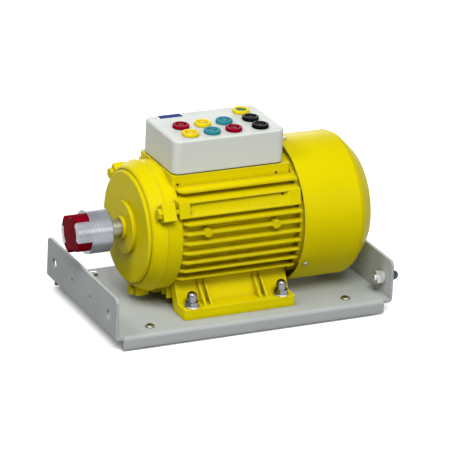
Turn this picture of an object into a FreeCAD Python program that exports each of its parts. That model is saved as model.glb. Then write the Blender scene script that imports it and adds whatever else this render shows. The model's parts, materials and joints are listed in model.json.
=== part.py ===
"""Demonstration electric motor on a bent-sheet base plate.

Millimetres. X runs along the shaft, from the coupling (-X) to the fan cowl (+X), Y points to the
back and Z up. The pieces are made with the origin on the shaft axis, above the middle of the four
foot holes. Saving a piece moves it to the part's own frame, whose origin is the middle of the
part's outer box, on the level where the rubber feet stand. Turns about the shaft are counted in
degrees from the top towards the front.
"""
import FreeCAD, Part
import math
import os

# Motor: the standard sizes of a foot-mounted motor of shaft height 80
shaft_height = 80.0
foot_holes_along = 100.0
foot_holes_across = 125.0
foot_hole_d = 10.0
foot_hole_to_shoulder = 50.0
shaft_end_d = 19.0
shaft_end_length = 40.0

# Fits and clearances
press_gap = 0.02
slide_gap = 0.05
thread_gap = 0.05
seat_gap = 0.3
air_gap = 0.4
overrun = 5.0

# Base plate
plate_length = 310.0
plate_width = 179.0
plate_t = 3.0
plate_ahead = 10.0
flange_height = 42.0
flange_corner_r = 6.0
skirt_depth = 13.5
skirt_notch = 9.0
bend_inner_r = 1.2
link_hole_from_side = 19.0
link_holes_apart = plate_width - 2.0 * link_hole_from_side
link_hole_d = 10.5
tie_holes_apart = 47.0
tie_hole_d = 4.5
link_level = 18.5

# Rubber feet
rubber_foot_d = 20.0
rubber_foot_tip_d = 17.0
rubber_foot_below_skirt = 2.5
rubber_foot_from_end = 45.0
rubber_foot_from_side = 17.5
rubber_feet_along = plate_length - 2.0 * rubber_foot_from_end
rubber_feet_across = plate_width - 2.0 * rubber_foot_from_side

# Locating dowels, their nuts and washers
dowel_d = 10.0
dowel_straight = 10.0
dowel_nose = 5.0
dowel_nose_share = 0.7
dowel_tip_share = 0.2
dowel_end_beyond_nut = 2.0

# Threads of size M8 hold the motor and the dowels
m8_d = 8.0
m8_clear_d = 9.0
m8_flats = 13.0
m8_head_h = 5.3
m8_nut_h = 6.5
m8_washer_d = 16.0
m8_washer_t = 1.6
cap_nut_h = 15.0
cap_nut_dome_d = 12.4
dome_share = 0.62
dome_rise_share = 0.82

# Motor frame
frame_front = 81.0
frame_rear = 71.0
ring_above_plate = 14.0
end_ring_d = 2.0 * (shaft_height - ring_above_plate)
frame_ring_wall = 8.0
stator_d = end_ring_d - 2.0 * frame_ring_wall
barrel_wall = 4.0
fin_front = 64.0
fin_rear = 66.0
fin_t = 2.4
fin_pitch = 10.5
fin_level = 1.5
side_fins_above = 2
side_fins_below = 4
fin_above_plate = 10.0
fin_reach = shaft_height - fin_above_plate
fin_end_slope = 5.0
under_fins_each_side = 3
boss_apart = 76.0
boss_d = 9.0
panel_low = 29.0
panel_high = 45.0
panel_low_in = 4.0
panel_high_in = 8.0
panel_low_reach = fin_reach - panel_low_in
panel_high_reach = fin_reach - panel_high_in
panel_front = 57.0
panel_rear = 53.0
panel_rim = 2.0
panel_depth_low = 2.3
panel_depth_high = 5.3
shoulder_fin_level = 52.0
shoulder_fin_in = 16.0
shoulder_fin_reach = fin_reach - shoulder_fin_in
shoulder_fin_t = 2.6

# Feet of the motor frame
foot_front = 61.0
foot_rear = 63.0
foot_reach = 71.0
foot_t = 11.0
foot_inner = 44.0
foot_corner_r = 3.0
web_foot_y = 53.0
web_top_share = 0.66
web_top_inner_share = 0.5
web_level_share = 0.75
rib_pair_apart = 62.0
rib_gap = 7.0
rib_t = 2.4
rib_toe_y = 66.0
rib_pairs_ahead = 1.5

# Terminal box pad on top of the frame
pad_front = 67.0
pad_rear = 64.0
pad_width = 81.0
pad_below_ring = 1.0
pad_top = end_ring_d / 2.0 - pad_below_ring
pad_corner_r = 3.0
cable_way_length = 22.0
cable_way_width = 30.0

# Drive end shield
shield_rim_proud = 2.0
shield_rim_d = end_ring_d + 2.0 * shield_rim_proud
shield_rim_length = 6.0
shield_step_in = 5.0
shield_step_d = end_ring_d - 2.0 * shield_step_in
shield_step_x = 94.0
shield_lip_in = 4.0
shield_lip_d = shield_step_d - 2.0 * shield_lip_in
shield_face_x = 98.0
shield_lip_r = 2.0
shield_round_steps = 2
shield_disc_d = 54.0
shield_disc_x = 102.0
shield_collar_d = 24.4
shield_collar_x = 105.5
shield_wall = 5.0
spigot_length = 4.0
spigot_wall = 4.5
shaft_hole_gap = 0.6
lug_width = 18.0
lug_beyond_bolt = 6.0
low_lug_beyond_bolt = 4.0
lug_front = 87.3
lug_rear = 73.5
frame_lug_front = 68.5
lug_turns = (60.0, 180.0, 300.0)

# Tie bolts of both shields, size M6
m6_d = 6.0
m6_clear_d = 6.6
m6_flats = 10.0
m6_head_h = 4.0
m6_spot_face_d = 12.6
front_bolt_beyond_ring = 4.0
rear_bolt_within_ring = 0.5
front_bolt_circle_r = end_ring_d / 2.0 + front_bolt_beyond_ring
rear_bolt_circle_r = end_ring_d / 2.0 - rear_bolt_within_ring
bolt_bite = 9.0

# Rear end shield
rear_rim_length = 5.0
rear_web_t = 5.0
rear_lug_t = 9.0
rear_lug_width = 14.0
rear_hub_end_wall = 3.0
cowl_boss_width = 12.0
cowl_boss_length = 9.0
cowl_turns = (0.0, 120.0, 240.0)

# Ball bearings and what sits beside them
bearing_bore = 20.0
bearing_d = 47.0
bearing_width = 14.0
bearing_ring_share = 0.3
bearing_cage_width = 9.0
bearing_housing_wall = 6.0
front_bearing_x = 97.0
rear_bearing_x = 73.0
spring_t = 1.0
spring_width = 4.0
bearing_relief = 1.0
seal_t = 3.0
seal_d = 22.0
seal_lip_t = 1.2

# Rotor and stator
core_length = 76.0
stator_ring_wall = 24.0
rotor_d = stator_d - 2.0 * stator_ring_wall
rotor_length = 72.0
rotor_seat_d = 27.0
shaft_body_d = 26.0
end_ring_t = 8.0
end_ring_wall = 12.0
vane_count = 8
vane_length = 9.0
vane_t = 2.5
winding_reach = 22.0
winding_wall = 15.0
winding_gap = 1.0
slot_count = 24
slot_width = 4.0
slot_depth = 13.0
slot_roof = 1.5

# Shaft behind the rear bearing, and the fan on it
fan_seat_d = 17.0
fan_seat_flat = 1.5
fan_seat_end = 119.0
fan_front = 95.0
fan_hub_d = 32.0
fan_hub_length = 21.0
fan_to_cowl = 13.8
fan_disc_t = 2.0
fan_blade_count = 9
fan_blade_t = 2.0
fan_blade_length = 21.0
fan_corner_share = 0.2

# Fan cowl
cowl_stand_off = 8.8
cowl_d = end_ring_d + 2.0 * cowl_stand_off
cowl_t = 1.2
cowl_front = 68.0
cowl_straight_end = 132.0
cowl_round_end = 137.0
cowl_round_in = 2.3
cowl_back = 151.0
cowl_back_in = 16.8
grille_slot_width = 4.4
grille_row_shares = ((0.24, 0.53), (0.6, 0.91))
grille_slot_counts = (12, 20)
half_pitch_share = 0.5

# Jaw coupling
coupling_d = 45.0
coupling_back = 120.0
coupling_body_length = 23.5
jaw_length = 15.5
jaw_angle = 56.0
jaw_inner_r = 16.5
jaw_turns = (68.0, 248.0)
spider_leg_angle = 34.0
spider_d = 42.6
spider_gap = 0.1
key_width = 6.0
key_height = 6.0
key_depth_in_shaft = 3.5
key_length = 18.0
key_from_shaft_end = 1.0
key_turn = 245.0
hub_keyway_height = 2.8
set_screw_d = 5.0
set_screw_sunk = 1.0
coupling_edge = 1.0

# Terminal box
box_front = 65.0
box_rear = 58.0
box_width = 78.0
box_height = 35.0
box_wall = 3.0
box_corner_r = 8.0
box_edge = 1.5
gasket_t = 1.0
gasket_inset = 0.4
gasket_inner_inset = 2.3
box_post_d = 7.0
box_post_in_x = 9.5
box_post_in_y = 6.0

# Safety sockets: columns along X, rows along Y, and the colour at each column and row
socket_first_in = 23.0
socket_pitch = 24.0
socket_last_in = 22.5
socket_front_in = 14.0
socket_middle_ahead = 1.7
socket_back_in = 18.2
socket_colours = {
    (0, 1): "red",
    (1, 1): "yellow",
    (2, 1): "teal",
    (0, 0): "yellow",
    (1, 0): "teal",
    (2, 0): "red",
    (3, 2): "earth",
    (3, 1): "black",
    (3, 0): "black",
}
socket_flange_d = 17.2
socket_flange_h = 4.0
socket_body_d = 12.4
socket_body_length = 24.0
socket_bore_d = 8.2
contact_d = 5.8
contact_bore_d = 4.0
contact_below_rim = 1.6
contact_bore_length = 20.0
socket_floor_t = 2.5

# Levels and places that follow from the sizes above
plate_top = -shaft_height
plate_bottom = plate_top - plate_t
skirt_bottom = plate_top - skirt_depth
stand_level = skirt_bottom - rubber_foot_below_skirt
plate_x0 = plate_ahead - plate_length / 2.0
plate_x1 = plate_ahead + plate_length / 2.0
plate_y = plate_width / 2.0
flange_top = plate_top + flange_height
bend_outer_r = bend_inner_r + plate_t
link_z = plate_top + link_level
shoulder_x = -(foot_holes_along / 2.0 + foot_hole_to_shoulder)
shaft_end_x = shoulder_x - shaft_end_length
coupling_back_x = -coupling_back
jaw_root_x = coupling_back_x - coupling_body_length
coupling_tip_x = jaw_root_x - jaw_length
dowel_tip_x = plate_x1 + dowel_straight + dowel_nose
part_middle_x = (coupling_tip_x + dowel_tip_x) / 2.0
bore_r = stator_d / 2.0
barrel_r = bore_r + barrel_wall
foot_top = plate_top + foot_t
box_bottom = pad_top + gasket_t
box_top = box_bottom + box_height
box_middle_x = (box_rear - box_front) / 2.0
box_length = box_front + box_rear
socket_columns = (
    -box_front + socket_first_in,
    -box_front + socket_first_in + socket_pitch,
    -box_front + socket_first_in + 2.0 * socket_pitch,
    box_rear - socket_last_in,
)
socket_rows = (
    -box_width / 2.0 + socket_front_in,
    -socket_middle_ahead,
    box_width / 2.0 - socket_back_in,
)
bearing_ring_wall = bearing_ring_share * (bearing_d - bearing_bore) / 2.0
cowl_r = cowl_d / 2.0
cowl_round_r = cowl_r - cowl_round_in
cowl_back_r = cowl_r - cowl_back_in
fan_r = cowl_r - fan_to_cowl
lug_top_r = front_bolt_circle_r + lug_beyond_bolt
low_lug_r = front_bolt_circle_r + low_lug_beyond_bolt
web_top_y = barrel_r * web_top_share
web_top_inner_y = barrel_r * web_top_inner_share
web_top_level = barrel_r * web_level_share

X_AXIS = FreeCAD.Vector(1, 0, 0)
Y_AXIS = FreeCAD.Vector(0, 1, 0)
Z_AXIS = FreeCAD.Vector(0, 0, 1)
ORIGIN = FreeCAD.Vector(0, 0, 0)


def point(x, y, z):
    return FreeCAD.Vector(x, y, z)


def block(x0, x1, y0, y1, z0, z1):
    """A box between the given planes."""
    return Part.makeBox(x1 - x0, y1 - y0, z1 - z0, point(x0, y0, z0))


def rod_x(x0, x1, r, y=0, z=0):
    """A cylinder along X."""
    return Part.makeCylinder(r, x1 - x0, point(x0, y, z), X_AXIS)


def rod_y(y0, y1, r, x=0, z=0):
    """A cylinder along Y."""
    return Part.makeCylinder(r, y1 - y0, point(x, y0, z), Y_AXIS)


def rod_z(z0, z1, r, x=0, y=0):
    """A cylinder along Z."""
    return Part.makeCylinder(r, z1 - z0, point(x, y, z0), Z_AXIS)


def tube_x(x0, x1, r_out, r_in):
    return rod_x(x0, x1, r_out).cut(rod_x(x0, x1, r_in))


def face_of(points):
    """A flat face on a closed outline of points."""
    return Part.Face(Part.makePolygon(list(points) + [points[0]]))


def turned_x(outline):
    """A solid of revolution about the shaft axis, from an outline of (x, radius) pairs."""
    face = face_of([point(x, 0, r) for x, r in outline])
    return face.revolve(ORIGIN, X_AXIS, 360)


def turned_z(outline, x=0, y=0):
    """A solid of revolution about a vertical axis, from an outline of (radius, z) pairs."""
    face = face_of([point(x + r, y, z) for r, z in outline])
    return face.revolve(point(x, y, 0), Z_AXIS, 360)


def run_x(outline, x0, x1):
    """A bar along X whose section is an outline of (y, z) pairs."""
    face = face_of([point(x0, y, z) for y, z in outline])
    return face.extrude(point(x1 - x0, 0, 0))


def run_z(outline, z0, z1):
    """An upright bar whose section is an outline of (x, y) pairs."""
    face = face_of([point(x, y, z0) for x, y in outline])
    return face.extrude(point(0, 0, z1 - z0))


def hexagon(flats):
    """The six corners of a hexagon, given the width across its flats."""
    r = flats / math.sqrt(3.0)
    return [(r * math.cos(i * math.pi / 3.0), r * math.sin(i * math.pi / 3.0)) for i in range(6)]


def hex_x(x0, x1, flats, y=0, z=0):
    return run_x([(y + b, z + a) for a, b in hexagon(flats)], x0, x1)


def hex_z(z0, z1, flats, x=0, y=0):
    return run_z([(x + a, y + b) for a, b in hexagon(flats)], z0, z1)


def at_turn(shape, degrees):
    """The shape, made at the top, turned about the shaft towards the front."""
    turned = shape.copy()
    turned.rotate(ORIGIN, X_AXIS, degrees)
    return turned


def both_sides(shape):
    """The shape and its mirror image across the middle plane of the motor."""
    return shape.fuse(shape.mirror(ORIGIN, Y_AXIS))


def wedge(half_angle, r, x0, x1):
    """A sector about the top, wide enough to cut rings of up to the given radius."""
    reach = r / math.cos(math.radians(half_angle))
    side = reach * math.sin(math.radians(half_angle))
    height = reach * math.cos(math.radians(half_angle))
    return run_x([(0, 0), (-side, height), (side, height)], x0, x1)


def joined(shapes):
    """One solid made of overlapping shapes."""
    return shapes[0].multiFuse(shapes[1:]).removeSplitter()


def group(shapes):
    """Separate solids that share one node."""
    return Part.makeCompound(shapes)


def edges_where(shape, test):
    return [edge for edge in shape.Edges if test(edge)]


def along(edge, axis):
    """Whether a straight edge is parallel to an axis."""
    if len(edge.Vertexes) < 2:
        return False
    run = edge.Vertexes[1].Point - edge.Vertexes[0].Point
    return run.Length > 0 and run.cross(axis).Length < run.Length / 1000.0


def save(name, shape):
    placed = shape.copy()
    placed.translate(point(-part_middle_x, 0, -stand_level))
    placed.exportStep(os.path.join("parts", name + ".step"))


def four_places(apart_x, apart_y, middle_x=0):
    """The corners of a rectangle of holes."""
    return [(middle_x + sx * apart_x / 2.0, sy * apart_y / 2.0) for sx in (-1, 1) for sy in (-1, 1)]


def motor_bolt_places():
    return four_places(foot_holes_along, foot_holes_across)


def rubber_foot_places():
    return four_places(rubber_feet_along, rubber_feet_across, plate_ahead)


def bend(x0, x1):
    """A front skirt: sheet bent down from the plate, with its rounded bend."""
    depth_y = 2.0 * bend_outer_r
    solid = block(x0, x1, -plate_y, -plate_y + depth_y, skirt_bottom, plate_top)
    hollow = block(x0, x1, -plate_y + plate_t, -plate_y + depth_y, skirt_bottom, plate_bottom)
    strip = solid.cut(hollow)

    def at(edge, y, z):
        middle = edge.CenterOfMass
        return along(edge, X_AXIS) and abs(middle.y - y) < press_gap and abs(middle.z - z) < press_gap

    outer = edges_where(strip, lambda e: at(e, -plate_y, plate_top))
    inner = edges_where(strip, lambda e: at(e, -plate_y + plate_t, plate_bottom))
    return strip.makeFillet(bend_outer_r, outer).makeFillet(bend_inner_r, inner)


def bent_sheet():
    """The whole base plate as it is bent from one sheet: deck, end flanges and skirts."""
    tray = block(plate_x0, plate_x1, -plate_y, plate_y, plate_bottom, flange_top)
    tray = tray.cut(block(plate_x0 + plate_t, plate_x1 - plate_t, -plate_y, plate_y, plate_top, flange_top))

    def bends(level):
        return lambda e: along(e, Y_AXIS) and abs(e.CenterOfMass.z - level) < press_gap

    tray = tray.makeFillet(bend_outer_r, edges_where(tray, bends(plate_bottom)))
    inner = [e for e in edges_where(tray, bends(plate_top)) if e.Length > plate_width - plate_t]
    tray = tray.makeFillet(bend_inner_r, inner)
    corners = edges_where(
        tray, lambda e: along(e, X_AXIS) and abs(e.CenterOfMass.z - flange_top) < press_gap
    )
    tray = tray.makeFillet(flange_corner_r, corners)
    skirt_x0 = plate_x0 + skirt_notch
    skirt_x1 = plate_x1 - skirt_notch
    room = block(skirt_x0, skirt_x1, -plate_y, -plate_y + 2.0 * bend_outer_r, plate_bottom, plate_top)
    tray = tray.cut(both_sides(room))
    plate = joined([tray, bend(skirt_x0, skirt_x1), bend(skirt_x0, skirt_x1).mirror(ORIGIN, Y_AXIS)])
    for x, y in motor_bolt_places():
        plate = plate.cut(rod_z(plate_bottom, plate_top, m8_clear_d / 2.0, x, y))
    for side in (-1, 1):
        link_y = side * link_holes_apart / 2.0
        tie_y = side * tie_holes_apart / 2.0
        plate = plate.cut(rod_x(plate_x0, plate_x0 + plate_t, link_hole_d / 2.0, link_y, link_z))
        plate = plate.cut(rod_x(plate_x0, plate_x0 + plate_t, tie_hole_d / 2.0, tie_y, link_z))
        plate = plate.cut(rod_x(plate_x1 - plate_t, plate_x1, m8_d / 2.0 + thread_gap, link_y, link_z))
        plate = plate.cut(rod_x(plate_x1 - plate_t, plate_x1, tie_hole_d / 2.0, tie_y, link_z))
    return plate


def end_lengths():
    """The room of each end flange, up to the line where its bend runs out into the deck."""
    ends = []
    for x0, x1 in ((plate_x0, plate_x0 + bend_outer_r), (plate_x1 - bend_outer_r, plate_x1)):
        ends.append(block(x0, x1, -plate_y, plate_y, plate_bottom, flange_top))
    return ends


def base_plate():
    """The deck with its skirts. It meets the end flanges face to face at their bend lines."""
    return bent_sheet().cut(group(end_lengths()))


def end_flanges():
    """The two bent-up ends of the sheet, a node of their own so that collision pieces stay simple."""
    sheet = bent_sheet()
    return group([sheet.common(end) for end in end_lengths()])


def rubber_feet():
    feet = []
    for x, y in rubber_foot_places():
        tip_r = rubber_foot_tip_d / 2.0
        root_r = rubber_foot_d / 2.0
        height = plate_bottom - stand_level
        feet.append(Part.makeCone(tip_r, root_r, height, point(x, y, stand_level), Z_AXIS))
    return group(feet)


def dome(r, height, level):
    """Half the outline of a dome, as (radius, z) pairs from the rim to the axis."""
    shoulder = level + height / 3.0
    return [(r, shoulder), (r * dome_share, level + height * dome_rise_share), (0, level + height)]


def motor_bolts():
    bolts = []
    shank_end = foot_top + m8_washer_t + m8_nut_h + m8_d / 2.0
    for x, y in motor_bolt_places():
        head = hex_z(plate_bottom - m8_head_h, plate_bottom, m8_flats, x, y)
        shank = rod_z(plate_bottom - m8_head_h / 2.0, shank_end, m8_d / 2.0, x, y)
        bolts.append(joined([head, shank]))
    return group(bolts)


def motor_washers():
    washers = []
    for x, y in motor_bolt_places():
        disc = rod_z(foot_top, foot_top + m8_washer_t, m8_washer_d / 2.0, x, y)
        washers.append(disc.cut(rod_z(foot_top, foot_top + m8_washer_t, m8_d / 2.0 + slide_gap, x, y)))
    return group(washers)


def cap_nuts():
    nuts = []
    low = foot_top + m8_washer_t
    hex_top = low + m8_nut_h
    for x, y in motor_bolt_places():
        base = hex_z(low, hex_top, m8_flats, x, y)
        r = cap_nut_dome_d / 2.0
        outline = [(0, low), (r, low)] + dome(r, cap_nut_h - m8_nut_h, hex_top)
        hole = rod_z(low, hex_top + m8_d / 2.0 + seat_gap, m8_d / 2.0 + thread_gap, x, y)
        nuts.append(joined([base, turned_z(outline, x, y)]).cut(hole))
    return group(nuts)


def dowel_places():
    return [(-link_holes_apart / 2.0, link_z), (link_holes_apart / 2.0, link_z)]


def dowel_nut_x():
    """The face of the dowel's nut that lies on the washer."""
    return plate_x1 - plate_t - m8_washer_t


def locating_dowels():
    dowels = []
    r = dowel_d / 2.0
    for y, z in dowel_places():
        stud = rod_x(dowel_nut_x() - m8_nut_h - dowel_end_beyond_nut, plate_x1, m8_d / 2.0, y, z)
        nose_x = plate_x1 + dowel_straight
        straight = rod_x(plate_x1, nose_x, r, y, z)
        tip_x = nose_x + dowel_nose * dowel_nose_share
        mid_r = r * dome_share
        tip_r = r * dowel_tip_share
        nose = Part.makeCone(r, mid_r, tip_x - nose_x, point(nose_x, y, z), X_AXIS)
        tip = Part.makeCone(mid_r, tip_r, dowel_tip_x - tip_x, point(tip_x, y, z), X_AXIS)
        dowels.append(joined([stud, straight, nose, tip]))
    return group(dowels)


def dowel_nuts():
    nuts = []
    for y, z in dowel_places():
        nut = hex_x(dowel_nut_x() - m8_nut_h, dowel_nut_x(), m8_flats, y, z)
        nuts.append(nut.cut(rod_x(dowel_nut_x() - m8_nut_h, dowel_nut_x(), m8_d / 2.0 + thread_gap, y, z)))
    return group(nuts)


def dowel_washers():
    washers = []
    for y, z in dowel_places():
        disc = rod_x(dowel_nut_x(), plate_x1 - plate_t, m8_washer_d / 2.0, y, z)
        washers.append(disc.cut(rod_x(dowel_nut_x(), plate_x1 - plate_t, m8_d / 2.0 + slide_gap, y, z)))
    return group(washers)


def side_fin(level, reach, thickness):
    """One flat cooling fin on the front, its drive end cut at a slope."""
    outline = [
        (-fin_front, 0),
        (-fin_front, -reach + fin_end_slope),
        (-fin_front + fin_end_slope, -reach),
        (fin_rear, -reach),
        (fin_rear, 0),
    ]
    return run_z(outline, level - thickness / 2.0, level + thickness / 2.0)


def fins():
    """The side fins, the shoulder fin below the box pad and the fins under the barrel."""
    made = []
    for step in range(-side_fins_below, side_fins_above + 1):
        level = fin_level + step * fin_pitch
        reach = fin_reach
        if level < 0:
            reach = math.sqrt(fin_reach ** 2 - level ** 2)
        made.append(both_sides(side_fin(level, reach, fin_t)))
    made.append(both_sides(side_fin(shoulder_fin_level, shoulder_fin_reach, shoulder_fin_t)))
    for step in range(-under_fins_each_side, under_fins_each_side + 1):
        y = step * fin_pitch
        made.append(block(-fin_front, fin_rear, y - fin_t / 2.0, y + fin_t / 2.0, -fin_reach, 0))
    return made


def side_panel():
    """The thick bar on each side with the shallow recess for a plate and the lug of a tie bolt."""
    bar = run_x(
        [
            (0, panel_low),
            (-panel_low_reach, panel_low),
            (-panel_high_reach, panel_high),
            (0, panel_high),
        ],
        -frame_lug_front,
        fin_rear,
    )
    recess = run_x(
        [
            (-panel_low_reach + panel_depth_low, panel_low + panel_rim),
            (-panel_low_reach - overrun, panel_low + panel_rim),
            (-panel_low_reach - overrun, panel_high - panel_rim),
            (-panel_high_reach + panel_depth_high, panel_high - panel_rim),
        ],
        -panel_front,
        panel_rear,
    )
    return both_sides(bar.cut(recess))


def side_bosses():
    made = []
    for side in (-1, 1):
        x = side * boss_apart / 2.0
        level = fin_level + fin_pitch
        made.append(both_sides(rod_y(-fin_reach, 0, boss_d / 2.0, x, level)))
    return made


def motor_foot():
    """The front foot: its pad, the sloping web up to the barrel and two pairs of ribs."""
    pad = run_z(
        [
            (-foot_front, -foot_reach),
            (foot_rear, -foot_reach),
            (foot_rear, -foot_inner),
            (-foot_front, -foot_inner),
        ],
        plate_top,
        foot_top,
    )
    corners = edges_where(
        pad, lambda e: along(e, Z_AXIS) and e.CenterOfMass.y < -foot_reach + foot_corner_r
    )
    pad = pad.makeFillet(foot_corner_r, corners)
    web = run_x(
        [
            (-web_foot_y, plate_top),
            (-web_foot_y, foot_top),
            (-web_top_y, -web_top_level),
            (-web_top_inner_y, -web_top_level),
            (-foot_inner, plate_top),
        ],
        -foot_front,
        foot_rear,
    )
    pieces = [pad, web]
    for side in (-1, 1):
        for offset in (-1, 1):
            x = rib_pairs_ahead - fin_t + side * rib_pair_apart / 2.0 + offset * rib_gap / 2.0
            outline = [
                (-rib_toe_y, foot_top - rib_t),
                (-rib_toe_y, foot_top),
                (-web_top_y - rib_t, -web_top_level - rib_t),
                (-web_top_inner_y, -web_top_level - rib_t),
                (-foot_inner, foot_top - rib_t),
            ]
            pieces.append(run_x(outline, x - rib_t / 2.0, x + rib_t / 2.0))
    return joined(pieces)


def box_pad():
    pad = block(-pad_front, pad_rear, -pad_width / 2.0, pad_width / 2.0, 0, pad_top)
    return pad.makeFillet(pad_corner_r, edges_where(pad, lambda e: along(e, Z_AXIS)))


def bottom_bolt_boss():
    """The thick end of the middle fin under the barrel, which takes the lowest tie bolts."""
    half = (fin_pitch + fin_t) / 2.0
    front = block(-frame_lug_front, -fin_front + bolt_bite + fin_end_slope, -half, half, -low_lug_r, 0)
    rear = block(fin_rear - bolt_bite - fin_end_slope, fin_rear, -half, half, -low_lug_r, 0)
    return [front, rear]


def motor_frame():
    pieces = [rod_x(-frame_front, frame_rear, barrel_r)]
    pieces.append(rod_x(-frame_front, -fin_front, end_ring_d / 2.0))
    pieces.append(rod_x(fin_rear, frame_rear, end_ring_d / 2.0))
    pieces += fins()
    pieces.append(side_panel())
    pieces += side_bosses()
    pieces.append(box_pad())
    pieces.append(both_sides(motor_foot()))
    pieces += bottom_bolt_boss()
    frame = joined(pieces)
    cuts = [rod_x(-frame_front - overrun, frame_rear + overrun, bore_r)]
    for x, y in motor_bolt_places():
        cuts.append(rod_z(plate_top - overrun, foot_top + overrun, foot_hole_d / 2.0, x, y))
    tap_r = m6_d / 2.0 + thread_gap
    front = rod_x(-frame_lug_front - overrun, -fin_front + bolt_bite, tap_r, 0, front_bolt_circle_r)
    rear = rod_x(fin_rear - bolt_bite, frame_rear + overrun, tap_r, 0, rear_bolt_circle_r)
    for turn in lug_turns:
        cuts.append(at_turn(front, turn))
        cuts.append(at_turn(rear, turn))
    way_x = -pad_front + box_post_d + cable_way_length / 2.0
    half_l = cable_way_length / 2.0
    half_w = cable_way_width / 2.0
    cuts.append(block(way_x - half_l, way_x + half_l, -half_w, half_w, 0, pad_top + overrun))
    half_pad = pad_width / 2.0
    cuts.append(block(-pad_front, pad_rear, -half_pad, half_pad, pad_top, pad_top + overrun))
    for cutter in cuts:
        frame = frame.cut(cutter)
    return frame


def round_step(x0, r0, x1, r1, steps):
    """Points on a quarter ellipse from (x0, r0) to (x1, r1), rising first."""
    points = []
    for i in range(steps + 1):
        angle = math.pi / 2.0 * i / steps
        points.append((x1 + (x0 - x1) * math.cos(angle), r0 + (r1 - r0) * math.sin(angle)))
    return points


def drive_end_shield():
    rim_r = shield_rim_d / 2.0
    step_r = shield_step_d / 2.0
    lip_r = shield_lip_d / 2.0
    disc_r = shield_disc_d / 2.0
    collar_r = shield_collar_d / 2.0
    seam_x = -frame_front
    bearing_r = bearing_d / 2.0
    hub_r = bearing_r + bearing_housing_wall
    hub_back_x = -front_bearing_x + bearing_width
    hole_r = shaft_end_d / 2.0 + seat_gap
    seal_r = seal_d / 2.0
    relief_r = bearing_bore / 2.0 + bearing_ring_wall + shaft_hole_gap
    relief_x = -front_bearing_x - bearing_relief
    spigot_r = bore_r - slide_gap
    spigot_x = seam_x + spigot_length
    cavity_x = -shield_face_x + shield_wall
    cavity_r = spigot_r - spigot_wall
    lip_back_x = -shield_collar_x + seal_lip_t
    outline = [(-shield_collar_x, hole_r), (-shield_collar_x, collar_r), (-shield_disc_x, collar_r)]
    outline += [(-shield_disc_x, disc_r), (-shield_face_x, disc_r), (-shield_face_x, lip_r - shield_lip_r)]
    outline += [(-shield_face_x + shield_lip_r, lip_r), (-shield_step_x, lip_r)]
    outline += round_step(-shield_step_x, step_r, seam_x - shield_rim_length, rim_r, shield_round_steps)
    outline += [(seam_x, rim_r), (seam_x, spigot_r), (spigot_x, spigot_r), (spigot_x, cavity_r)]
    outline += [(cavity_x, cavity_r), (cavity_x, hub_r)]
    outline += [(hub_back_x, hub_r), (hub_back_x, bearing_r), (-front_bearing_x, bearing_r)]
    outline += [(-front_bearing_x, relief_r), (relief_x, relief_r), (relief_x, seal_r)]
    outline += [(lip_back_x, seal_r), (lip_back_x, hole_r)]
    shield = turned_x(outline)
    low_r = shield_step_d / 2.0 - shield_wall
    half = lug_width / 2.0
    lug = block(-lug_front, -lug_rear, -half, half, low_r, lug_top_r)
    keep_clear = rod_x(seam_x, -lug_rear + overrun, end_ring_d / 2.0 + seat_gap)
    lug = lug.cut(keep_clear)
    for turn in lug_turns:
        shield = shield.fuse(at_turn(lug, turn))
    shield = shield.removeSplitter()
    hole = rod_x(-lug_front - overrun, -lug_rear + overrun, m6_clear_d / 2.0, 0, front_bolt_circle_r)
    head_room = rod_x(-shield_step_x, -lug_front, m6_spot_face_d / 2.0, 0, front_bolt_circle_r)
    for turn in lug_turns:
        shield = shield.cut(at_turn(hole, turn)).cut(at_turn(head_room, turn))
    below = block(-lug_front - overrun, -lug_rear + overrun, -lug_width, lug_width, -lug_top_r, -low_lug_r)
    return shield.cut(below)


def drive_end_bolts():
    bolts = []
    for turn in lug_turns:
        head = hex_x(-lug_front - m6_head_h, -lug_front, m6_flats, 0, front_bolt_circle_r)
        end_x = -fin_front + bolt_bite - seat_gap
        shank = rod_x(-lug_front - m6_head_h / 2.0, end_x, m6_d / 2.0, 0, front_bolt_circle_r)
        bolts.append(at_turn(joined([head, shank]), turn))
    return group(bolts)


def rear_web_x():
    """The rear face of the rear shield's web."""
    return frame_rear + rear_rim_length + rear_web_t


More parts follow.
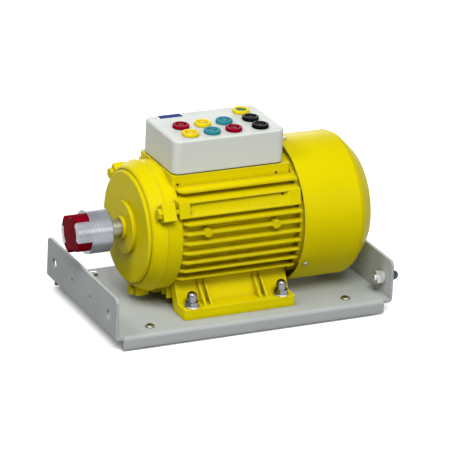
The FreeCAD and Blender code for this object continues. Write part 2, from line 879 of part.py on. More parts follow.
def rear_end_shield():
    rim_r = end_ring_d / 2.0
    bearing_r = bearing_d / 2.0
    hub_r = bearing_r + bearing_housing_wall
    spigot_r = bore_r - slide_gap
    cavity_r = spigot_r - spigot_wall
    bearing_end_x = rear_bearing_x + bearing_width + spring_t
    hub_end_x = bearing_end_x + rear_hub_end_wall
    hole_r = bearing_bore / 2.0 + shaft_hole_gap
    web_x = rear_web_x()
    outline = [(frame_rear, rim_r), (frame_rear, spigot_r), (frame_rear - spigot_length, spigot_r)]
    outline += [(frame_rear - spigot_length, cavity_r), (frame_rear + rear_rim_length, cavity_r)]
    outline += [(frame_rear + rear_rim_length, hub_r), (rear_bearing_x, hub_r), (rear_bearing_x, bearing_r)]
    outline += [(bearing_end_x, bearing_r), (bearing_end_x, hole_r), (hub_end_x, hole_r)]
    outline += [(hub_end_x, hub_r), (web_x, hub_r), (web_x, rim_r)]
    shield = turned_x(outline)
    low_r = rim_r - rear_web_t
    for turn in lug_turns:
        half = rear_lug_width / 2.0
        top_r = rear_bolt_circle_r + m6_flats / 2.0
        lug = block(frame_rear, frame_rear + rear_lug_t, -half, half, low_r, top_r)
        shield = shield.fuse(at_turn(lug, turn))
    for turn in cowl_turns:
        half = cowl_boss_width / 2.0
        boss = block(frame_rear, frame_rear + cowl_boss_length, -half, half, low_r, cowl_r)
        boss = boss.common(rod_x(frame_rear, rear_web_x() + overrun, cowl_r - cowl_t - seat_gap))
        shield = shield.fuse(at_turn(boss, turn))
    shield = shield.removeSplitter()
    for turn in lug_turns:
        hole = rod_x(frame_rear - overrun, web_x + overrun, m6_clear_d / 2.0, 0, rear_bolt_circle_r)
        shield = shield.cut(at_turn(hole, turn))
    return shield


def rear_end_bolts():
    bolts = []
    for turn in lug_turns:
        seat_x = rear_web_x()
        end_x = fin_rear - bolt_bite + seat_gap
        head = hex_x(seat_x, seat_x + m6_head_h, m6_flats, 0, rear_bolt_circle_r)
        shank = rod_x(end_x, seat_x + m6_head_h / 2.0, m6_d / 2.0, 0, rear_bolt_circle_r)
        bolts.append(at_turn(joined([head, shank]), turn))
    return group(bolts)


def bearing_starts():
    """The front faces of the two bearings."""
    return [-front_bearing_x, rear_bearing_x]


def bearing_outer_rings():
    r = bearing_d / 2.0 - press_gap
    return group([tube_x(x, x + bearing_width, r, r - bearing_ring_wall) for x in bearing_starts()])


def bearing_inner_rings():
    r = bearing_bore / 2.0
    return group([tube_x(x, x + bearing_width, r + bearing_ring_wall, r) for x in bearing_starts()])


def bearing_cages():
    r_in = bearing_bore / 2.0 + bearing_ring_wall + seat_gap
    r_out = bearing_d / 2.0 - press_gap - bearing_ring_wall - seat_gap
    inset = (bearing_width - bearing_cage_width) / 2.0
    return group([tube_x(x + inset, x + inset + bearing_cage_width, r_out, r_in) for x in bearing_starts()])


def preload_spring():
    r = bearing_d / 2.0 - slide_gap
    x = rear_bearing_x + bearing_width
    return tube_x(x, x + spring_t, r, r - spring_width)


def shaft_seal():
    r_in = shaft_end_d / 2.0 + seat_gap
    x = -shield_collar_x + seal_lip_t
    return tube_x(x, x + seal_t, seal_d / 2.0 - press_gap, r_in)


def stator_core():
    half = core_length / 2.0
    inner_r = rotor_d / 2.0 + air_gap
    core = tube_x(-half, half, bore_r - slide_gap, inner_r)
    low = inner_r + slot_roof
    slot = block(-half, half, -slot_width / 2.0, slot_width / 2.0, low, low + slot_depth)
    slots = [at_turn(slot, i * 360.0 / slot_count) for i in range(slot_count)]
    return core.cut(group(slots))


def stator_winding():
    """The copper in the slots, joined at both ends by the bundles of end turns."""
    half = core_length / 2.0
    slot_low = rotor_d / 2.0 + air_gap + slot_roof
    width = slot_width / 2.0 - slide_gap
    start = half + winding_gap
    bar_end = start + winding_wall / 2.0
    bar_top = slot_low + slot_depth - slide_gap
    bar = block(-bar_end, bar_end, -width, width, slot_low + slide_gap, bar_top)
    pieces = [tube_x(start, start + winding_reach, slot_low + winding_wall, slot_low)]
    pieces.append(tube_x(-start - winding_reach, -start, slot_low + winding_wall, slot_low))
    pieces += [at_turn(bar, i * 360.0 / slot_count) for i in range(slot_count)]
    return joined(pieces)


def rotor_core():
    half = rotor_length / 2.0
    return tube_x(-half, half, rotor_d / 2.0, rotor_seat_d / 2.0 + press_gap)


def rotor_cage():
    """The cast end rings of the rotor, each with its mixing vanes."""
    rings = []
    for side in (-1, 1):
        start = rotor_length / 2.0
        r = rotor_d / 2.0 - vane_t
        ring = tube_x(start, start + end_ring_t, r, r - end_ring_wall)
        low = r - end_ring_wall + vane_t
        vane = block(start, start + end_ring_t + vane_length, -vane_t / 2.0, vane_t / 2.0, low, r - vane_t)
        pieces = [ring] + [at_turn(vane, i * 360.0 / vane_count) for i in range(vane_count)]
        whole = joined(pieces)
        if side < 0:
            whole = whole.mirror(ORIGIN, X_AXIS)
        rings.append(whole)
    return group(rings)


def shaft():
    end_r = shaft_end_d / 2.0
    seat_r = bearing_bore / 2.0 - press_gap
    body_r = shaft_body_d / 2.0
    core_r = rotor_seat_d / 2.0
    seat_end_r = fan_seat_d / 2.0
    chamfer = (bearing_bore - shaft_end_d) / 2.0
    body_x0 = -front_bearing_x + bearing_width
    half = rotor_length / 2.0
    rear_seat_end = rear_bearing_x + bearing_width + spring_t + rear_hub_end_wall
    outline = [(shaft_end_x, 0), (shaft_end_x, end_r - chamfer), (shaft_end_x + chamfer, end_r)]
    outline += [(shoulder_x, end_r), (shoulder_x, seat_r), (body_x0, seat_r), (body_x0, body_r)]
    outline += [(-half, body_r), (-half, core_r), (half, core_r), (half, body_r), (rear_bearing_x, body_r)]
    outline += [(rear_bearing_x, seat_r), (rear_seat_end, seat_r), (rear_seat_end, seat_end_r)]
    outline += [(fan_seat_end - chamfer, seat_end_r), (fan_seat_end, seat_end_r - chamfer)]
    outline += [(fan_seat_end, 0)]
    whole = turned_x(outline)
    key_x0 = shaft_end_x + key_from_shaft_end
    seat = key_solid(key_x0, end_r - key_depth_in_shaft, end_r + overrun, key_width)
    whole = whole.cut(at_turn(seat, key_turn))
    flat_z = seat_end_r - fan_seat_flat
    flat = block(fan_front, fan_seat_end, -seat_end_r, seat_end_r, flat_z, seat_end_r)
    return whole.cut(flat)


def key_solid(x0, z0, z1, width):
    """A key or its seat at the top of the shaft, with round ends."""
    r = width / 2.0
    middle = block(x0 + r, x0 + key_length - r, -r, r, z0, z1)
    ends = [rod_z(z0, z1, r, x0 + r), rod_z(z0, z1, r, x0 + key_length - r)]
    return joined([middle] + ends)


def coupling_key():
    base = shaft_end_d / 2.0 - key_depth_in_shaft + press_gap
    key = key_solid(shaft_end_x + key_from_shaft_end, base, base + key_height, key_width - 2.0 * press_gap)
    return at_turn(key, key_turn)


def coupling_hub():
    r = coupling_d / 2.0
    bore = shaft_end_d / 2.0 + press_gap
    outline = [(coupling_back_x, bore), (coupling_back_x, r - coupling_edge)]
    outline += [(coupling_back_x - coupling_edge, r), (jaw_root_x, r), (jaw_root_x, bore)]
    hub = turned_x(outline)
    ring = tube_x(coupling_tip_x, jaw_root_x, r, jaw_inner_r)
    jaw = ring.common(wedge(jaw_angle / 2.0, coupling_d, coupling_tip_x, jaw_root_x))
    for turn in jaw_turns:
        hub = hub.fuse(at_turn(jaw, turn))
    hub = hub.removeSplitter()
    half = key_width / 2.0
    keyway = block(jaw_root_x, coupling_back_x, -half, half, 0, shaft_end_d / 2.0 + hub_keyway_height)
    hole = rod_z(0, coupling_d, set_screw_d / 2.0 + thread_gap, set_screw_x())
    return hub.cut(at_turn(keyway, key_turn)).cut(at_turn(hole, key_turn))


def set_screw_x():
    """The middle of the key's length."""
    return shaft_end_x + key_from_shaft_end + key_length / 2.0


def coupling_set_screw():
    key_top = shaft_end_d / 2.0 - key_depth_in_shaft + press_gap + key_height
    r = coupling_d / 2.0
    screw = rod_z(key_top + press_gap, r - set_screw_sunk, set_screw_d / 2.0, set_screw_x())
    socket = hex_z(r - set_screw_d / 2.0, r, set_screw_d / 2.0, set_screw_x())
    return at_turn(screw.cut(socket), key_turn)


def coupling_spider():
    """Four legs on a round middle. Two wide gaps stay open for the mating half's jaws."""
    x0 = coupling_tip_x + spider_gap
    x1 = jaw_root_x - spider_gap
    pieces = [rod_x(x0, x1, jaw_inner_r - spider_gap)]
    gap_angle = math.degrees(spider_gap / (spider_d / 2.0))
    disc = rod_x(x0, x1, spider_d / 2.0)
    leg = disc.common(wedge(spider_leg_angle / 2.0 - gap_angle, coupling_d, x0, x1))
    offset = (jaw_angle + spider_leg_angle) / 2.0
    for base in jaw_turns:
        for side in (-1, 1):
            pieces.append(at_turn(leg, base + side * offset))
    return joined(pieces)


def cooling_fan():
    bore = fan_seat_d / 2.0 + press_gap
    hub = tube_x(fan_front, fan_front + fan_hub_length, fan_hub_d / 2.0, bore)
    disc = tube_x(fan_front, fan_front + fan_disc_t, fan_r, bore)
    blade = fan_blade()
    pieces = [hub, disc] + [at_turn(blade, i * 360.0 / fan_blade_count) for i in range(fan_blade_count)]
    flat_low = fan_seat_d / 2.0 - fan_seat_flat + press_gap
    land = block(fan_front, fan_front + fan_hub_length, -bore, bore, flat_low, fan_hub_d / 2.0 - fan_disc_t)
    return joined(pieces + [land])


def fan_blade():
    """One straight blade of the fan at the top, its rear corner cut back."""
    root_r = fan_hub_d / 2.0 - fan_disc_t
    tip_r = fan_r
    back = fan_front + fan_blade_length
    corner = (tip_r - root_r) * fan_corner_share
    outline = [(fan_front, root_r), (fan_front, tip_r), (back - corner, tip_r)]
    outline += [(back, tip_r - corner), (back, root_r)]
    face = face_of([point(x, -fan_blade_t / 2.0, z) for x, z in outline])
    return face.extrude(point(0, fan_blade_t, 0))


def cowl_outline(inset):
    """The outer line of the cowl, or its inner line when inset by the sheet's thickness."""
    return [
        (cowl_front, cowl_r - inset),
        (cowl_straight_end - inset / 2.0, cowl_r - inset),
        (cowl_round_end - inset / 2.0, cowl_round_r - inset),
        (cowl_back - inset, cowl_back_r - inset / 2.0),
    ]


def fan_cowl():
    outer = cowl_outline(0) + [(cowl_back, 0), (cowl_front, 0)]
    inner = cowl_outline(cowl_t) + [(cowl_back - cowl_t, 0), (cowl_front, 0)]
    cowl = turned_x(outer).cut(turned_x(inner))
    slots = []
    r = grille_slot_width / 2.0
    x0 = cowl_back - cowl_t - overrun
    x1 = cowl_back + overrun
    for (low_share, high_share), count in zip(grille_row_shares, grille_slot_counts):
        slot = block(x0, x1, -r, r, cowl_back_r * low_share, cowl_back_r * high_share)
        slots += [at_turn(slot, (i + half_pitch_share) * 360.0 / count) for i in range(count)]
    return cowl.cut(group(slots))


def box_post_places():
    return four_places(box_length - 2.0 * box_post_in_x, box_width - 2.0 * box_post_in_y, box_middle_x)


def rounded_box(inset, z0, z1):
    """An upright block with the box's rounded corners, smaller all round by the inset."""
    x0 = -box_front + inset
    x1 = box_rear - inset
    y = box_width / 2.0 - inset
    solid = block(x0, x1, -y, y, z0, z1)
    return solid.makeFillet(box_corner_r - inset, edges_where(solid, lambda e: along(e, Z_AXIS)))


def terminal_box():
    outer = rounded_box(0, box_bottom, box_top)
    rim = edges_where(outer, lambda e: abs(e.CenterOfMass.z - box_top) < press_gap)
    outer = outer.makeChamfer(box_edge, rim)
    box = outer.cut(rounded_box(box_wall, box_bottom, box_top - box_wall))
    for x, y in box_post_places():
        post = rod_z(pad_top, box_top - box_wall, box_post_d / 2.0, x, y)
        box = box.fuse(post)
    box = box.removeSplitter()
    for x, y in socket_places():
        box = box.cut(rod_z(box_bottom, box_top, socket_body_d / 2.0 + slide_gap, x, y))
    return box


def box_gasket():
    """A thin ring under the wall of the box. The posts stand on the pad inside it."""
    ring = rounded_box(gasket_inset, pad_top, box_bottom)
    return ring.cut(rounded_box(gasket_inner_inset, pad_top, box_bottom))


def socket_places(colour=None):
    """The places of the sockets of one colour, or of all."""
    places = []
    for (column, row), name in socket_colours.items():
        if colour in (None, name):
            places.append((socket_columns[column], socket_rows[row]))
    return places


def socket(x, y):
    """The insulating body of a safety socket: a flange on the box and a deep cup below it."""
    bore = socket_bore_d / 2.0
    body = socket_body_d / 2.0
    flange = socket_flange_d / 2.0
    top = box_top + socket_flange_h
    low = box_top - socket_body_length
    floor = low + socket_floor_t
    outline = [(0, low), (body, low), (body, box_top), (flange, box_top), (flange, top)]
    outline += [(bore, top), (bore, floor), (0, floor)]
    return turned_z(outline, x, y)


def sockets(colour):
    return group([socket(x, y) for x, y in socket_places(colour)])


def socket_contacts():
    """Contact tubes that stand on the floors of the sockets, open at the top for a plug."""
    contacts = []
    r = contact_d / 2.0
    bore = contact_bore_d / 2.0
    top = box_top + socket_flange_h - contact_below_rim
    low = box_top - socket_body_length + socket_floor_t
    for x, y in socket_places():
        outline = [(0, low), (r, low), (r, top), (bore, top)]
        outline += [(bore, top - contact_bore_length), (0, top - contact_bore_length)]
        contacts.append(turned_z(outline, x, y))
    return group(contacts)


def main():
    os.makedirs("parts", exist_ok=True)
    save("base_plate", base_plate())
    save("end_flanges", end_flanges())
    save("rubber_feet", rubber_feet())
    save("motor_bolts", motor_bolts())
    save("motor_washers", motor_washers())
    save("cap_nuts", cap_nuts())
    save("locating_dowels", locating_dowels())
    save("dowel_nuts", dowel_nuts())
    save("dowel_washers", dowel_washers())
    save("motor_frame", motor_frame())
    save("stator_core", stator_core())
    save("stator_winding", stator_winding())
    save("drive_end_shield", drive_end_shield())
    save("drive_end_bolts", drive_end_bolts())
    save("rear_end_shield", rear_end_shield())
    save("rear_end_bolts", rear_end_bolts())
    save("bearing_outer_rings", bearing_outer_rings())
    save("bearing_inner_rings", bearing_inner_rings())
    save("bearing_cages", bearing_cages())
    save("preload_spring", preload_spring())
    save("shaft_seal", shaft_seal())
    save("shaft", shaft())
    save("rotor_core", rotor_core())
    save("rotor_cage", rotor_cage())
    save("coupling_key", coupling_key())
    save("coupling_hub", coupling_hub())
    save("coupling_set_screw", coupling_set_screw())
    save("coupling_spider", coupling_spider())
    save("cooling_fan", cooling_fan())
    save("fan_cowl", fan_cowl())
    save("terminal_box", terminal_box())
    save("box_gasket", box_gasket())
    for colour in ("red", "yellow", "teal", "black"):
        save(colour + "_sockets", sockets(colour))
    save("earth_socket", sockets("earth"))
    save("socket_contacts", socket_contacts())


main()
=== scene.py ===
"""The finished look of a demonstration motor on its base plate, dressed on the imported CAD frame.

Metres, in the frame of the part: X runs along the shaft from the coupling to the fan cowl, Y to the
back and Z up from the level of the rubber feet.
"""
import json
import math

import bmesh
import bpy
from mathutils import Matrix, Vector


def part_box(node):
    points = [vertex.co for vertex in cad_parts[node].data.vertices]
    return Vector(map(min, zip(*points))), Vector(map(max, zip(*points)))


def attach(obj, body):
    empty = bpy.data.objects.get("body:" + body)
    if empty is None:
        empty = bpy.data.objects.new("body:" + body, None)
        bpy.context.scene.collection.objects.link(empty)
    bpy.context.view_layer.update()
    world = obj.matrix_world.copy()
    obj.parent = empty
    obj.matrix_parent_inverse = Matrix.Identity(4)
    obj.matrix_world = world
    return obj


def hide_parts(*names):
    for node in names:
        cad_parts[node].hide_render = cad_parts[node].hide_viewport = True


MM = 0.001

# The photograph's camera
PHOTO_SIDE = 450
AIM_PIXEL = (213.5, 215.5)
CAMERA_TURN = math.radians(-26.1)
CAMERA_RISE = math.radians(21.6)
CAMERA_ROLL = math.radians(2.79)
CAMERA_DISTANCE = 3.533
FOCAL_PIXELS = 3456.0
SENSOR = 36.0
VIEW_END = 50.0

# The studio, with each lamp's place, width and depth, and power in watts
LAMPS = {
    "key_lamp": ((-0.55, -1.75, 2.3), (1.6, 1.2), 64.0),
    "right_lamp": ((1.25, -2.4, 1.15), (0.8, 0.7), 8.5),
    "left_lamp": ((-0.75, -0.15, 0.95), (0.35, 0.35), 3.8),
    "back_lamp": ((0.9, 2.6, 0.8), (1.6, 1.2), 20.0)}
LAMP_AIM = Vector((0.0, 0.0, 0.09))
WHITE = (1.0, 1.0, 1.0, 1.0)
SKY_TINT = (0.95, 0.97, 1.0, 1.0)
SKY_STRENGTH = 0.14
FLOOR_HALF = 8.0
FLOOR_UNDER_LIGHT = (0.2, 0.2, 0.2, 1.0)
FLOOR_TO_CAMERA = (0.86, 0.86, 0.86, 1.0)
FLOOR_ROUGHNESS = 0.9
FLOOR_SHADOW_REACH = 35.0 * MM

# The motor on its plate
SHAFT_LEVEL = 96.0 * MM
PLATE_AHEAD = 10.0 * MM

# Copies of the solids: how near points are joined, what counts as at a bend line, and the sharp edges
JOIN_DISTANCE = 0.002 * MM
BEND_LINE_MARGIN = 0.01 * MM
SHARP_EDGE = math.radians(28.0)
COWL_SHARP_EDGE = math.radians(18.0)

# The drive end shield's wall and lip, and the bead beside the step at its face
WALL_STEP_X = -94.0 * MM
WALL_STEP_R = 61.0 * MM
WALL_JOINT_X = -81.0 * MM
WALL_JOINT_R = 67.2 * MM
WALL_RIM_R = 68.0 * MM
LIP_INNER_R = 54.9 * MM
LIP_OUTER_R = 57.1 * MM
LIP_GROWTH = 0.9 * MM
WALL_MARGIN = 0.05 * MM
SHIELD_BEAD_R = 59.5 * MM
SHIELD_BEAD_SIZE = 0.8 * MM

# The recess in the frame's side bars: each end's place and slope, each long edge's level and lift
RECESS_ENDS = ((-57.0 * MM, 2.2 * MM), (53.0 * MM, -3.4 * MM))
RECESS_EDGES = ((31.0 * MM, 0.0), (43.0 * MM, 2.4 * MM))
RECESS_MARGIN = 0.02 * MM
RECESS_FLOOR_MARGIN = 0.05 * MM

# Nuts and screw heads
CAP_NUT = {
    "Hex Radius": 7.5 * MM, "Hex Height": 4.4 * MM, "Dome Radius": 5.5 * MM, "Neck Height": 4.9 * MM,
    "Dome Rise": 5.7 * MM}
FOOT_SCREW = {"Head Radius": 4.7 * MM, "Rise": 2.9 * MM}
LID_SCREW = {"Head Radius": 2.6 * MM, "Rise": 0.45 * MM}
LID_SCREW_INSET_X = 9.5 * MM
LID_SCREW_INSET_Y = 6.0 * MM
COWL_SCREW = {"Head Radius": 3.1 * MM, "Rise": 1.9 * MM}
COWL_SCREW_TURNS = (0.0, 120.0, 240.0)
COWL_SCREW_FROM_RIM = 7.0 * MM
SCREW_SINK = 0.1 * MM
HEAD_WALL_SHARE = 0.4

# The fan cowl's rim bead
COWL_BEAD_SIZE = 0.9 * MM
COWL_BEAD_SINK = 0.5 * MM

# Sockets, with each ring's level from the underside of the flange
SOCKETS = ("red_sockets", "yellow_sockets", "teal_sockets", "black_sockets", "earth_socket")
SOCKET_FLANGE = {
    "Outer Radius": 8.6 * MM, "Inner Radius": 5.4 * MM, "Height": 4.0 * MM, "Rounding": 0.9 * MM,
    "Level": 0.0}
SOCKET_FACE = {
    "Outer Radius": 6.0 * MM, "Inner Radius": 2.6 * MM, "Height": 2.6 * MM, "Rounding": 0.2 * MM,
    "Level": 0.0}
SOCKET_SLEEVE = {
    "Outer Radius": 3.6 * MM, "Inner Radius": 2.05 * MM, "Height": 3.0 * MM, "Rounding": 0.5 * MM,
    "Level": 0.6 * MM}
SOCKET_CUP = {
    "Outer Radius": 6.2 * MM, "Inner Radius": 4.1 * MM, "Height": 19.5 * MM, "Rounding": 0.1 * MM,
    "Level": -19.6 * MM}

# Tapped holes in the sides of the pad and in the recess, each a thin dark disc of painted shadow
PAD_HOLE_X = (-61.2 * MM, 48.4 * MM)
PAD_HOLE_Y = 40.55 * MM
PAD_HOLE_Z = 56.2 * MM
PAD_HOLE_RIM = {
    "Outer Radius": 1.9 * MM, "Inner Radius": 1.35 * MM, "Height": 0.2 * MM, "Rounding": 0.08 * MM,
    "Level": 0.0}
PAD_HOLE_SHADOW = {
    "Outer Radius": 1.4 * MM, "Inner Radius": 0.02 * MM, "Height": 0.08 * MM, "Rounding": 0.02 * MM,
    "Level": 0.0}
RECESS_HOLE_X = 46.8 * MM
RECESS_HOLE_Y = 60.4 * MM
RECESS_HOLE_Z = 40.6 * MM
RECESS_HOLE_OUT = 0.94
RECESS_HOLE_UP = 0.34
RECESS_HOLE_SHADOW = {
    "Outer Radius": 1.2 * MM, "Inner Radius": 0.02 * MM, "Height": 0.12 * MM, "Rounding": 0.02 * MM,
    "Level": 0.0}

# The blue bar on the lid, in millimetres from the shaft axis and the middle of the foot holes
LID_BAR = ((-51.0, 28.0), (-26.5, 28.0), (-25.5, 30.5), (-27.0, 37.0), (-50.4, 37.0))
LID_BAR_PROUD = 0.03 * MM

# Locating dowels
DOWEL_R = 5.0 * MM
DOWEL_ROOT_R = 4.7 * MM
DOWEL_ROOT_RISE = 0.3 * MM
DOWEL_NOSE = 5.0 * MM
DOWEL_NOSE_ARCS = 8
DOWEL_NOSE_FULLNESS = 0.8
DOWEL_TAIL_R = 4.0 * MM
DOWEL_TAIL_END_R = 3.4 * MM
DOWEL_TAIL_CHAMFER = 0.6 * MM

# How finely round pieces are divided
RIM_SIDES = 96
RING_SIDES = 48
ROUNDING_STEPS = 3
DRUM_SIDES = 40
DOWEL_SIDES = 40
HEXAGON = 6
DOME_SEGMENTS = 32
DOME_RINGS = 16
DOME_CUT = -0.05 * MM
BEAD_SIDES = 10

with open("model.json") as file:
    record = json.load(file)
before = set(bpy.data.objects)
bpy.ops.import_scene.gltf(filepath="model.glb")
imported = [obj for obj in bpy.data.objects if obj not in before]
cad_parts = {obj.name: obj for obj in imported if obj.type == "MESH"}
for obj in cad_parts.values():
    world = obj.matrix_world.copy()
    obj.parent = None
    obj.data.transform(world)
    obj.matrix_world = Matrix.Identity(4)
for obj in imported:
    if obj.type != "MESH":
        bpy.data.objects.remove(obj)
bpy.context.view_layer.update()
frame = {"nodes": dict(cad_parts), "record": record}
BODY_OF = {n: b for b, members in frame["record"]["behaviour"]["bodies"].items() for n in members}
SLOT_OF = {s["node"]: s["material_slot"] for s in frame["record"]["subparts"]}

# The middle of the motor's four foot holes, with the plate's middle ahead of it along X
PLATE_LOW, PLATE_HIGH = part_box("base_plate")
MOTOR_X = (PLATE_LOW[0] + PLATE_HIGH[0]) / 2.0 - PLATE_AHEAD


def at_motor(x, y, z):
    """A place given from the shaft axis above the middle of the foot holes."""
    return Vector((MOTOR_X + x, y, SHAFT_LEVEL + z))


def srgb(r, g, b):
    """A colour written as it shows on screen, 0 to 255, as the linear values that shaders take."""
    def linear(v):
        v = v / 255.0
        return v / 12.92 if v <= 0.04045 else ((v + 0.055) / 1.055) ** 2.4
    return (linear(r), linear(g), linear(b), 1.0)


def tinted(colour, share, lift=0.0):
    """A lighter or darker colour of the same kind."""
    return tuple(min(1.0, c * share + lift) for c in colour[:3]) + (1.0,)


# What most finishes share. In a look, edge_r and reach are lengths, the rest colours, shares and scales.
# In a look, the corner colour and its strength paint shade into corners and gaps; on the black rubber and
# fan plastic that colour is lighter and is pale dirt.
COATED = {
    "edge_r": 1.0 * MM, "highlight_share": 0.5, "reach": 8.0 * MM, "dust_and_shade": 0.6, "waves": 240.0, "grain": 0.3,
    "roughness": 0.35, "specular": 0.5, "bump": 0.25}
COAT_BUMP = 0.25 * MM
COAT_MOTTLE_SHADE = 0.86
COAT_SMOOTHER = 0.05
COAT_ROUGHER = 0.08
COAT_MOTTLE_SCALE = 22.0
CORNER_PATCH_SCALE = 140.0
BARE = {
    "edge_r": 0.4 * MM, "dust_and_shade_colour": srgb(50, 48, 44), "grain": 900.0, "roughness": 0.3, "bump": 0.2,
    "turned": None}
METAL_CLOUD_SCALE = 60.0
METAL_DULL_SHADE = 0.72
METAL_BRIGHT_SHADE = 1.25
METAL_SMOOTHER = 0.06
METAL_ROUGHER = 0.1
METAL_EDGE_HIGHLIGHT = 0.6
METAL_REACH = 3.0 * MM
METAL_CORNER_SHADE = 0.5
METAL_BUMP = 0.05 * MM


# Helpers for node trees


def feed(tree, socket, value):
    """Links an output to a socket, or sets the socket's own value."""
    if isinstance(value, bpy.types.NodeSocket):
        tree.links.new(value, socket)
    else:
        socket.default_value = value


def put(tree, kind, feeds=None, **settings):
    """A new node with its inputs, by name or by number, and its settings."""
    node = tree.nodes.new(kind)
    for name, value in settings.items():
        setattr(node, name, value)
    for name, value in (feeds or {}).items():
        feed(tree, node.inputs[name], value)
    return node


def sums(tree, operation, a, b=0.0):
    """The result of one step of arithmetic."""
    return put(tree, "ShaderNodeMath", {0: a, 1: b}, operation=operation).outputs[0]


def spread(tree, value, low, high, to_low=0.0, to_high=1.0):
    """A value's range from low to high, mapped to another range and held inside it."""
    feeds = {0: value, 1: low, 2: high, 3: to_low, 4: to_high}
    return put(tree, "ShaderNodeMapRange", feeds, clamp=True).outputs[0]


def blend_colours(tree, share, a, b):
    """Colour a, with the given share of colour b."""
    return put(tree, "ShaderNodeMix", {0: share, 6: a, 7: b}, data_type="RGBA").outputs[2]


def noise(tree, scale, detail=2.0, roughness=0.5):
    """A cloudy value over the surface, from 0 to 1."""
    node = put(tree, "ShaderNodeTexNoise", {"Scale": scale, "Detail": detail, "Roughness": roughness})
    tree.links.new(put(tree, "ShaderNodeTexCoord").outputs["Object"], node.inputs["Vector"])
    return node.outputs["Fac"]


def new_group(name, inputs, outputs):
    """A shader node group with named number inputs, each with its usual value, and named outputs."""
    tree = bpy.data.node_groups.new(name, "ShaderNodeTree")
    for label, value in inputs.items():
        socket = tree.interface.new_socket(name=label, in_out="INPUT", socket_type="NodeSocketFloat")
        socket.default_value = value
    for label, kind in outputs.items():
        tree.interface.new_socket(name=label, in_out="OUTPUT", socket_type=kind)
    start = tree.nodes.new("NodeGroupInput")
    end = tree.nodes.new("NodeGroupOutput")
    return tree, start.outputs, end.inputs


def edge_highlight_group():
    """Edges as a mask for a painted highlight, broken up by noise, and the surface normal with those edges
    rounded.
    """
    outs = {"Mask": "NodeSocketFloat", "Normal": "NodeSocketVector"}
    tree, given, out = new_group("edge_highlight", {"Radius": 1.0 * MM, "Break Up": 250.0}, outs)
    rounded = put(tree, "ShaderNodeBevel", {"Radius": given["Radius"]}, samples=6).outputs[0]
    flat = put(tree, "ShaderNodeNewGeometry").outputs["Normal"]
    dot = put(tree, "ShaderNodeVectorMath", {0: rounded, 1: flat}, operation="DOT_PRODUCT")
    turned_away = sums(tree, "SUBTRACT", 1.0, dot.outputs["Value"])
    edge = spread(tree, turned_away, low=0.01, high=0.22)
    patchy = spread(tree, noise(tree, given["Break Up"], detail=3.0), low=0.35, high=0.62)
    tree.links.new(sums(tree, "MULTIPLY", edge, patchy), out["Mask"])
    tree.links.new(rounded, out["Normal"])
    return tree


def corner_dust_and_shade_group():
    """A mask of inner corners and gaps, broken up by noise: painted shade on most finishes, pale dirt on the
    black ones.
    """
    outs = {"Mask": "NodeSocketFloat"}
    tree, given, out = new_group("corner_dust_and_shade", {"Reach": 8.0 * MM, "Strength": 1.0}, outs)
    hidden = put(tree, "ShaderNodeAmbientOcclusion", {"Distance": given["Reach"]}, samples=5)
    mask = spread(tree, hidden.outputs["AO"], low=0.95, high=0.25)
    patchy = spread(tree, noise(tree, CORNER_PATCH_SCALE, detail=4.0), low=0.25, high=0.7, to_low=0.55)
    mask = sums(tree, "MULTIPLY", sums(tree, "MULTIPLY", mask, patchy), given["Strength"])
    tree.links.new(mask, out["Mask"])
    return tree


def paint_peel_group():
    """The soft waves and fine grain of sprayed paint or moulded plastic, as a height."""
    inputs = {"Wave Scale": 240.0, "Grain Scale": 1500.0, "Grain Share": 0.3}
    outs = {"Height": "NodeSocketFloat", "Mottle": "NodeSocketFloat"}
    tree, given, out = new_group("paint_peel", inputs, outs)
    waves = noise(tree, given["Wave Scale"], detail=1.0)
    grain = noise(tree, given["Grain Scale"])
    height = sums(tree, "ADD", waves, sums(tree, "MULTIPLY", grain, given["Grain Share"]))
    tree.links.new(height, out["Height"])
    tree.links.new(noise(tree, COAT_MOTTLE_SCALE, detail=4.0, roughness=0.6), out["Mottle"])
    return tree


def turning_marks_group():
    """The fine rings that a lathe leaves round the shaft axis, on the rims and on the faces."""
    tree, given, out = new_group("turning_marks", {"Pitch": 2600.0}, {"Height": "NodeSocketFloat"})
    where = put(tree, "ShaderNodeTexCoord").outputs["Object"]
    shift = put(tree, "ShaderNodeMapping", {"Vector": where, "Location": (0.0, 0.0, -SHAFT_LEVEL)})
    parts = put(tree, "ShaderNodeSeparateXYZ", {0: shift.outputs[0]}).outputs
    squares = [sums(tree, "POWER", part, 2.0) for part in parts[1:]]
    radius = sums(tree, "SQRT", sums(tree, "ADD", *squares))
    run = sums(tree, "MULTIPLY", sums(tree, "ADD", parts[0], radius), given["Pitch"])
    feeds = {"W": run, "Scale": 1.0, "Detail": 3.0}
    lines = put(tree, "ShaderNodeTexNoise", feeds, noise_dimensions="1D")
    tree.links.new(lines.outputs["Fac"], out["Height"])
    return tree


GROUPS = {
    "edge_highlight": edge_highlight_group(),
    "corner_dust_and_shade": corner_dust_and_shade_group(),
    "paint_peel": paint_peel_group(),
    "turning_marks": turning_marks_group()}


def grouped(tree, name, feeds):
    """A shared effect placed in a material with its own values."""
    return put(tree, "ShaderNodeGroup", feeds, node_tree=GROUPS[name]).outputs


def new_material(name, colour):
    """A node material, its tree and its shader."""
    material = bpy.data.materials.new(name)
    material.use_nodes = True
    material.diffuse_color = colour
    tree = material.node_tree
    shader = next(n for n in tree.nodes if n.type == "BSDF_PRINCIPLED")
    return material, tree, shader


def bumped(tree, height, strength, distance, normal):
    """The normal with the height's bumps on it."""
    feeds = {"Height": height, "Strength": strength, "Distance": distance, "Normal": normal}
    return put(tree, "ShaderNodeBump", feeds).outputs["Normal"]


# Finishes


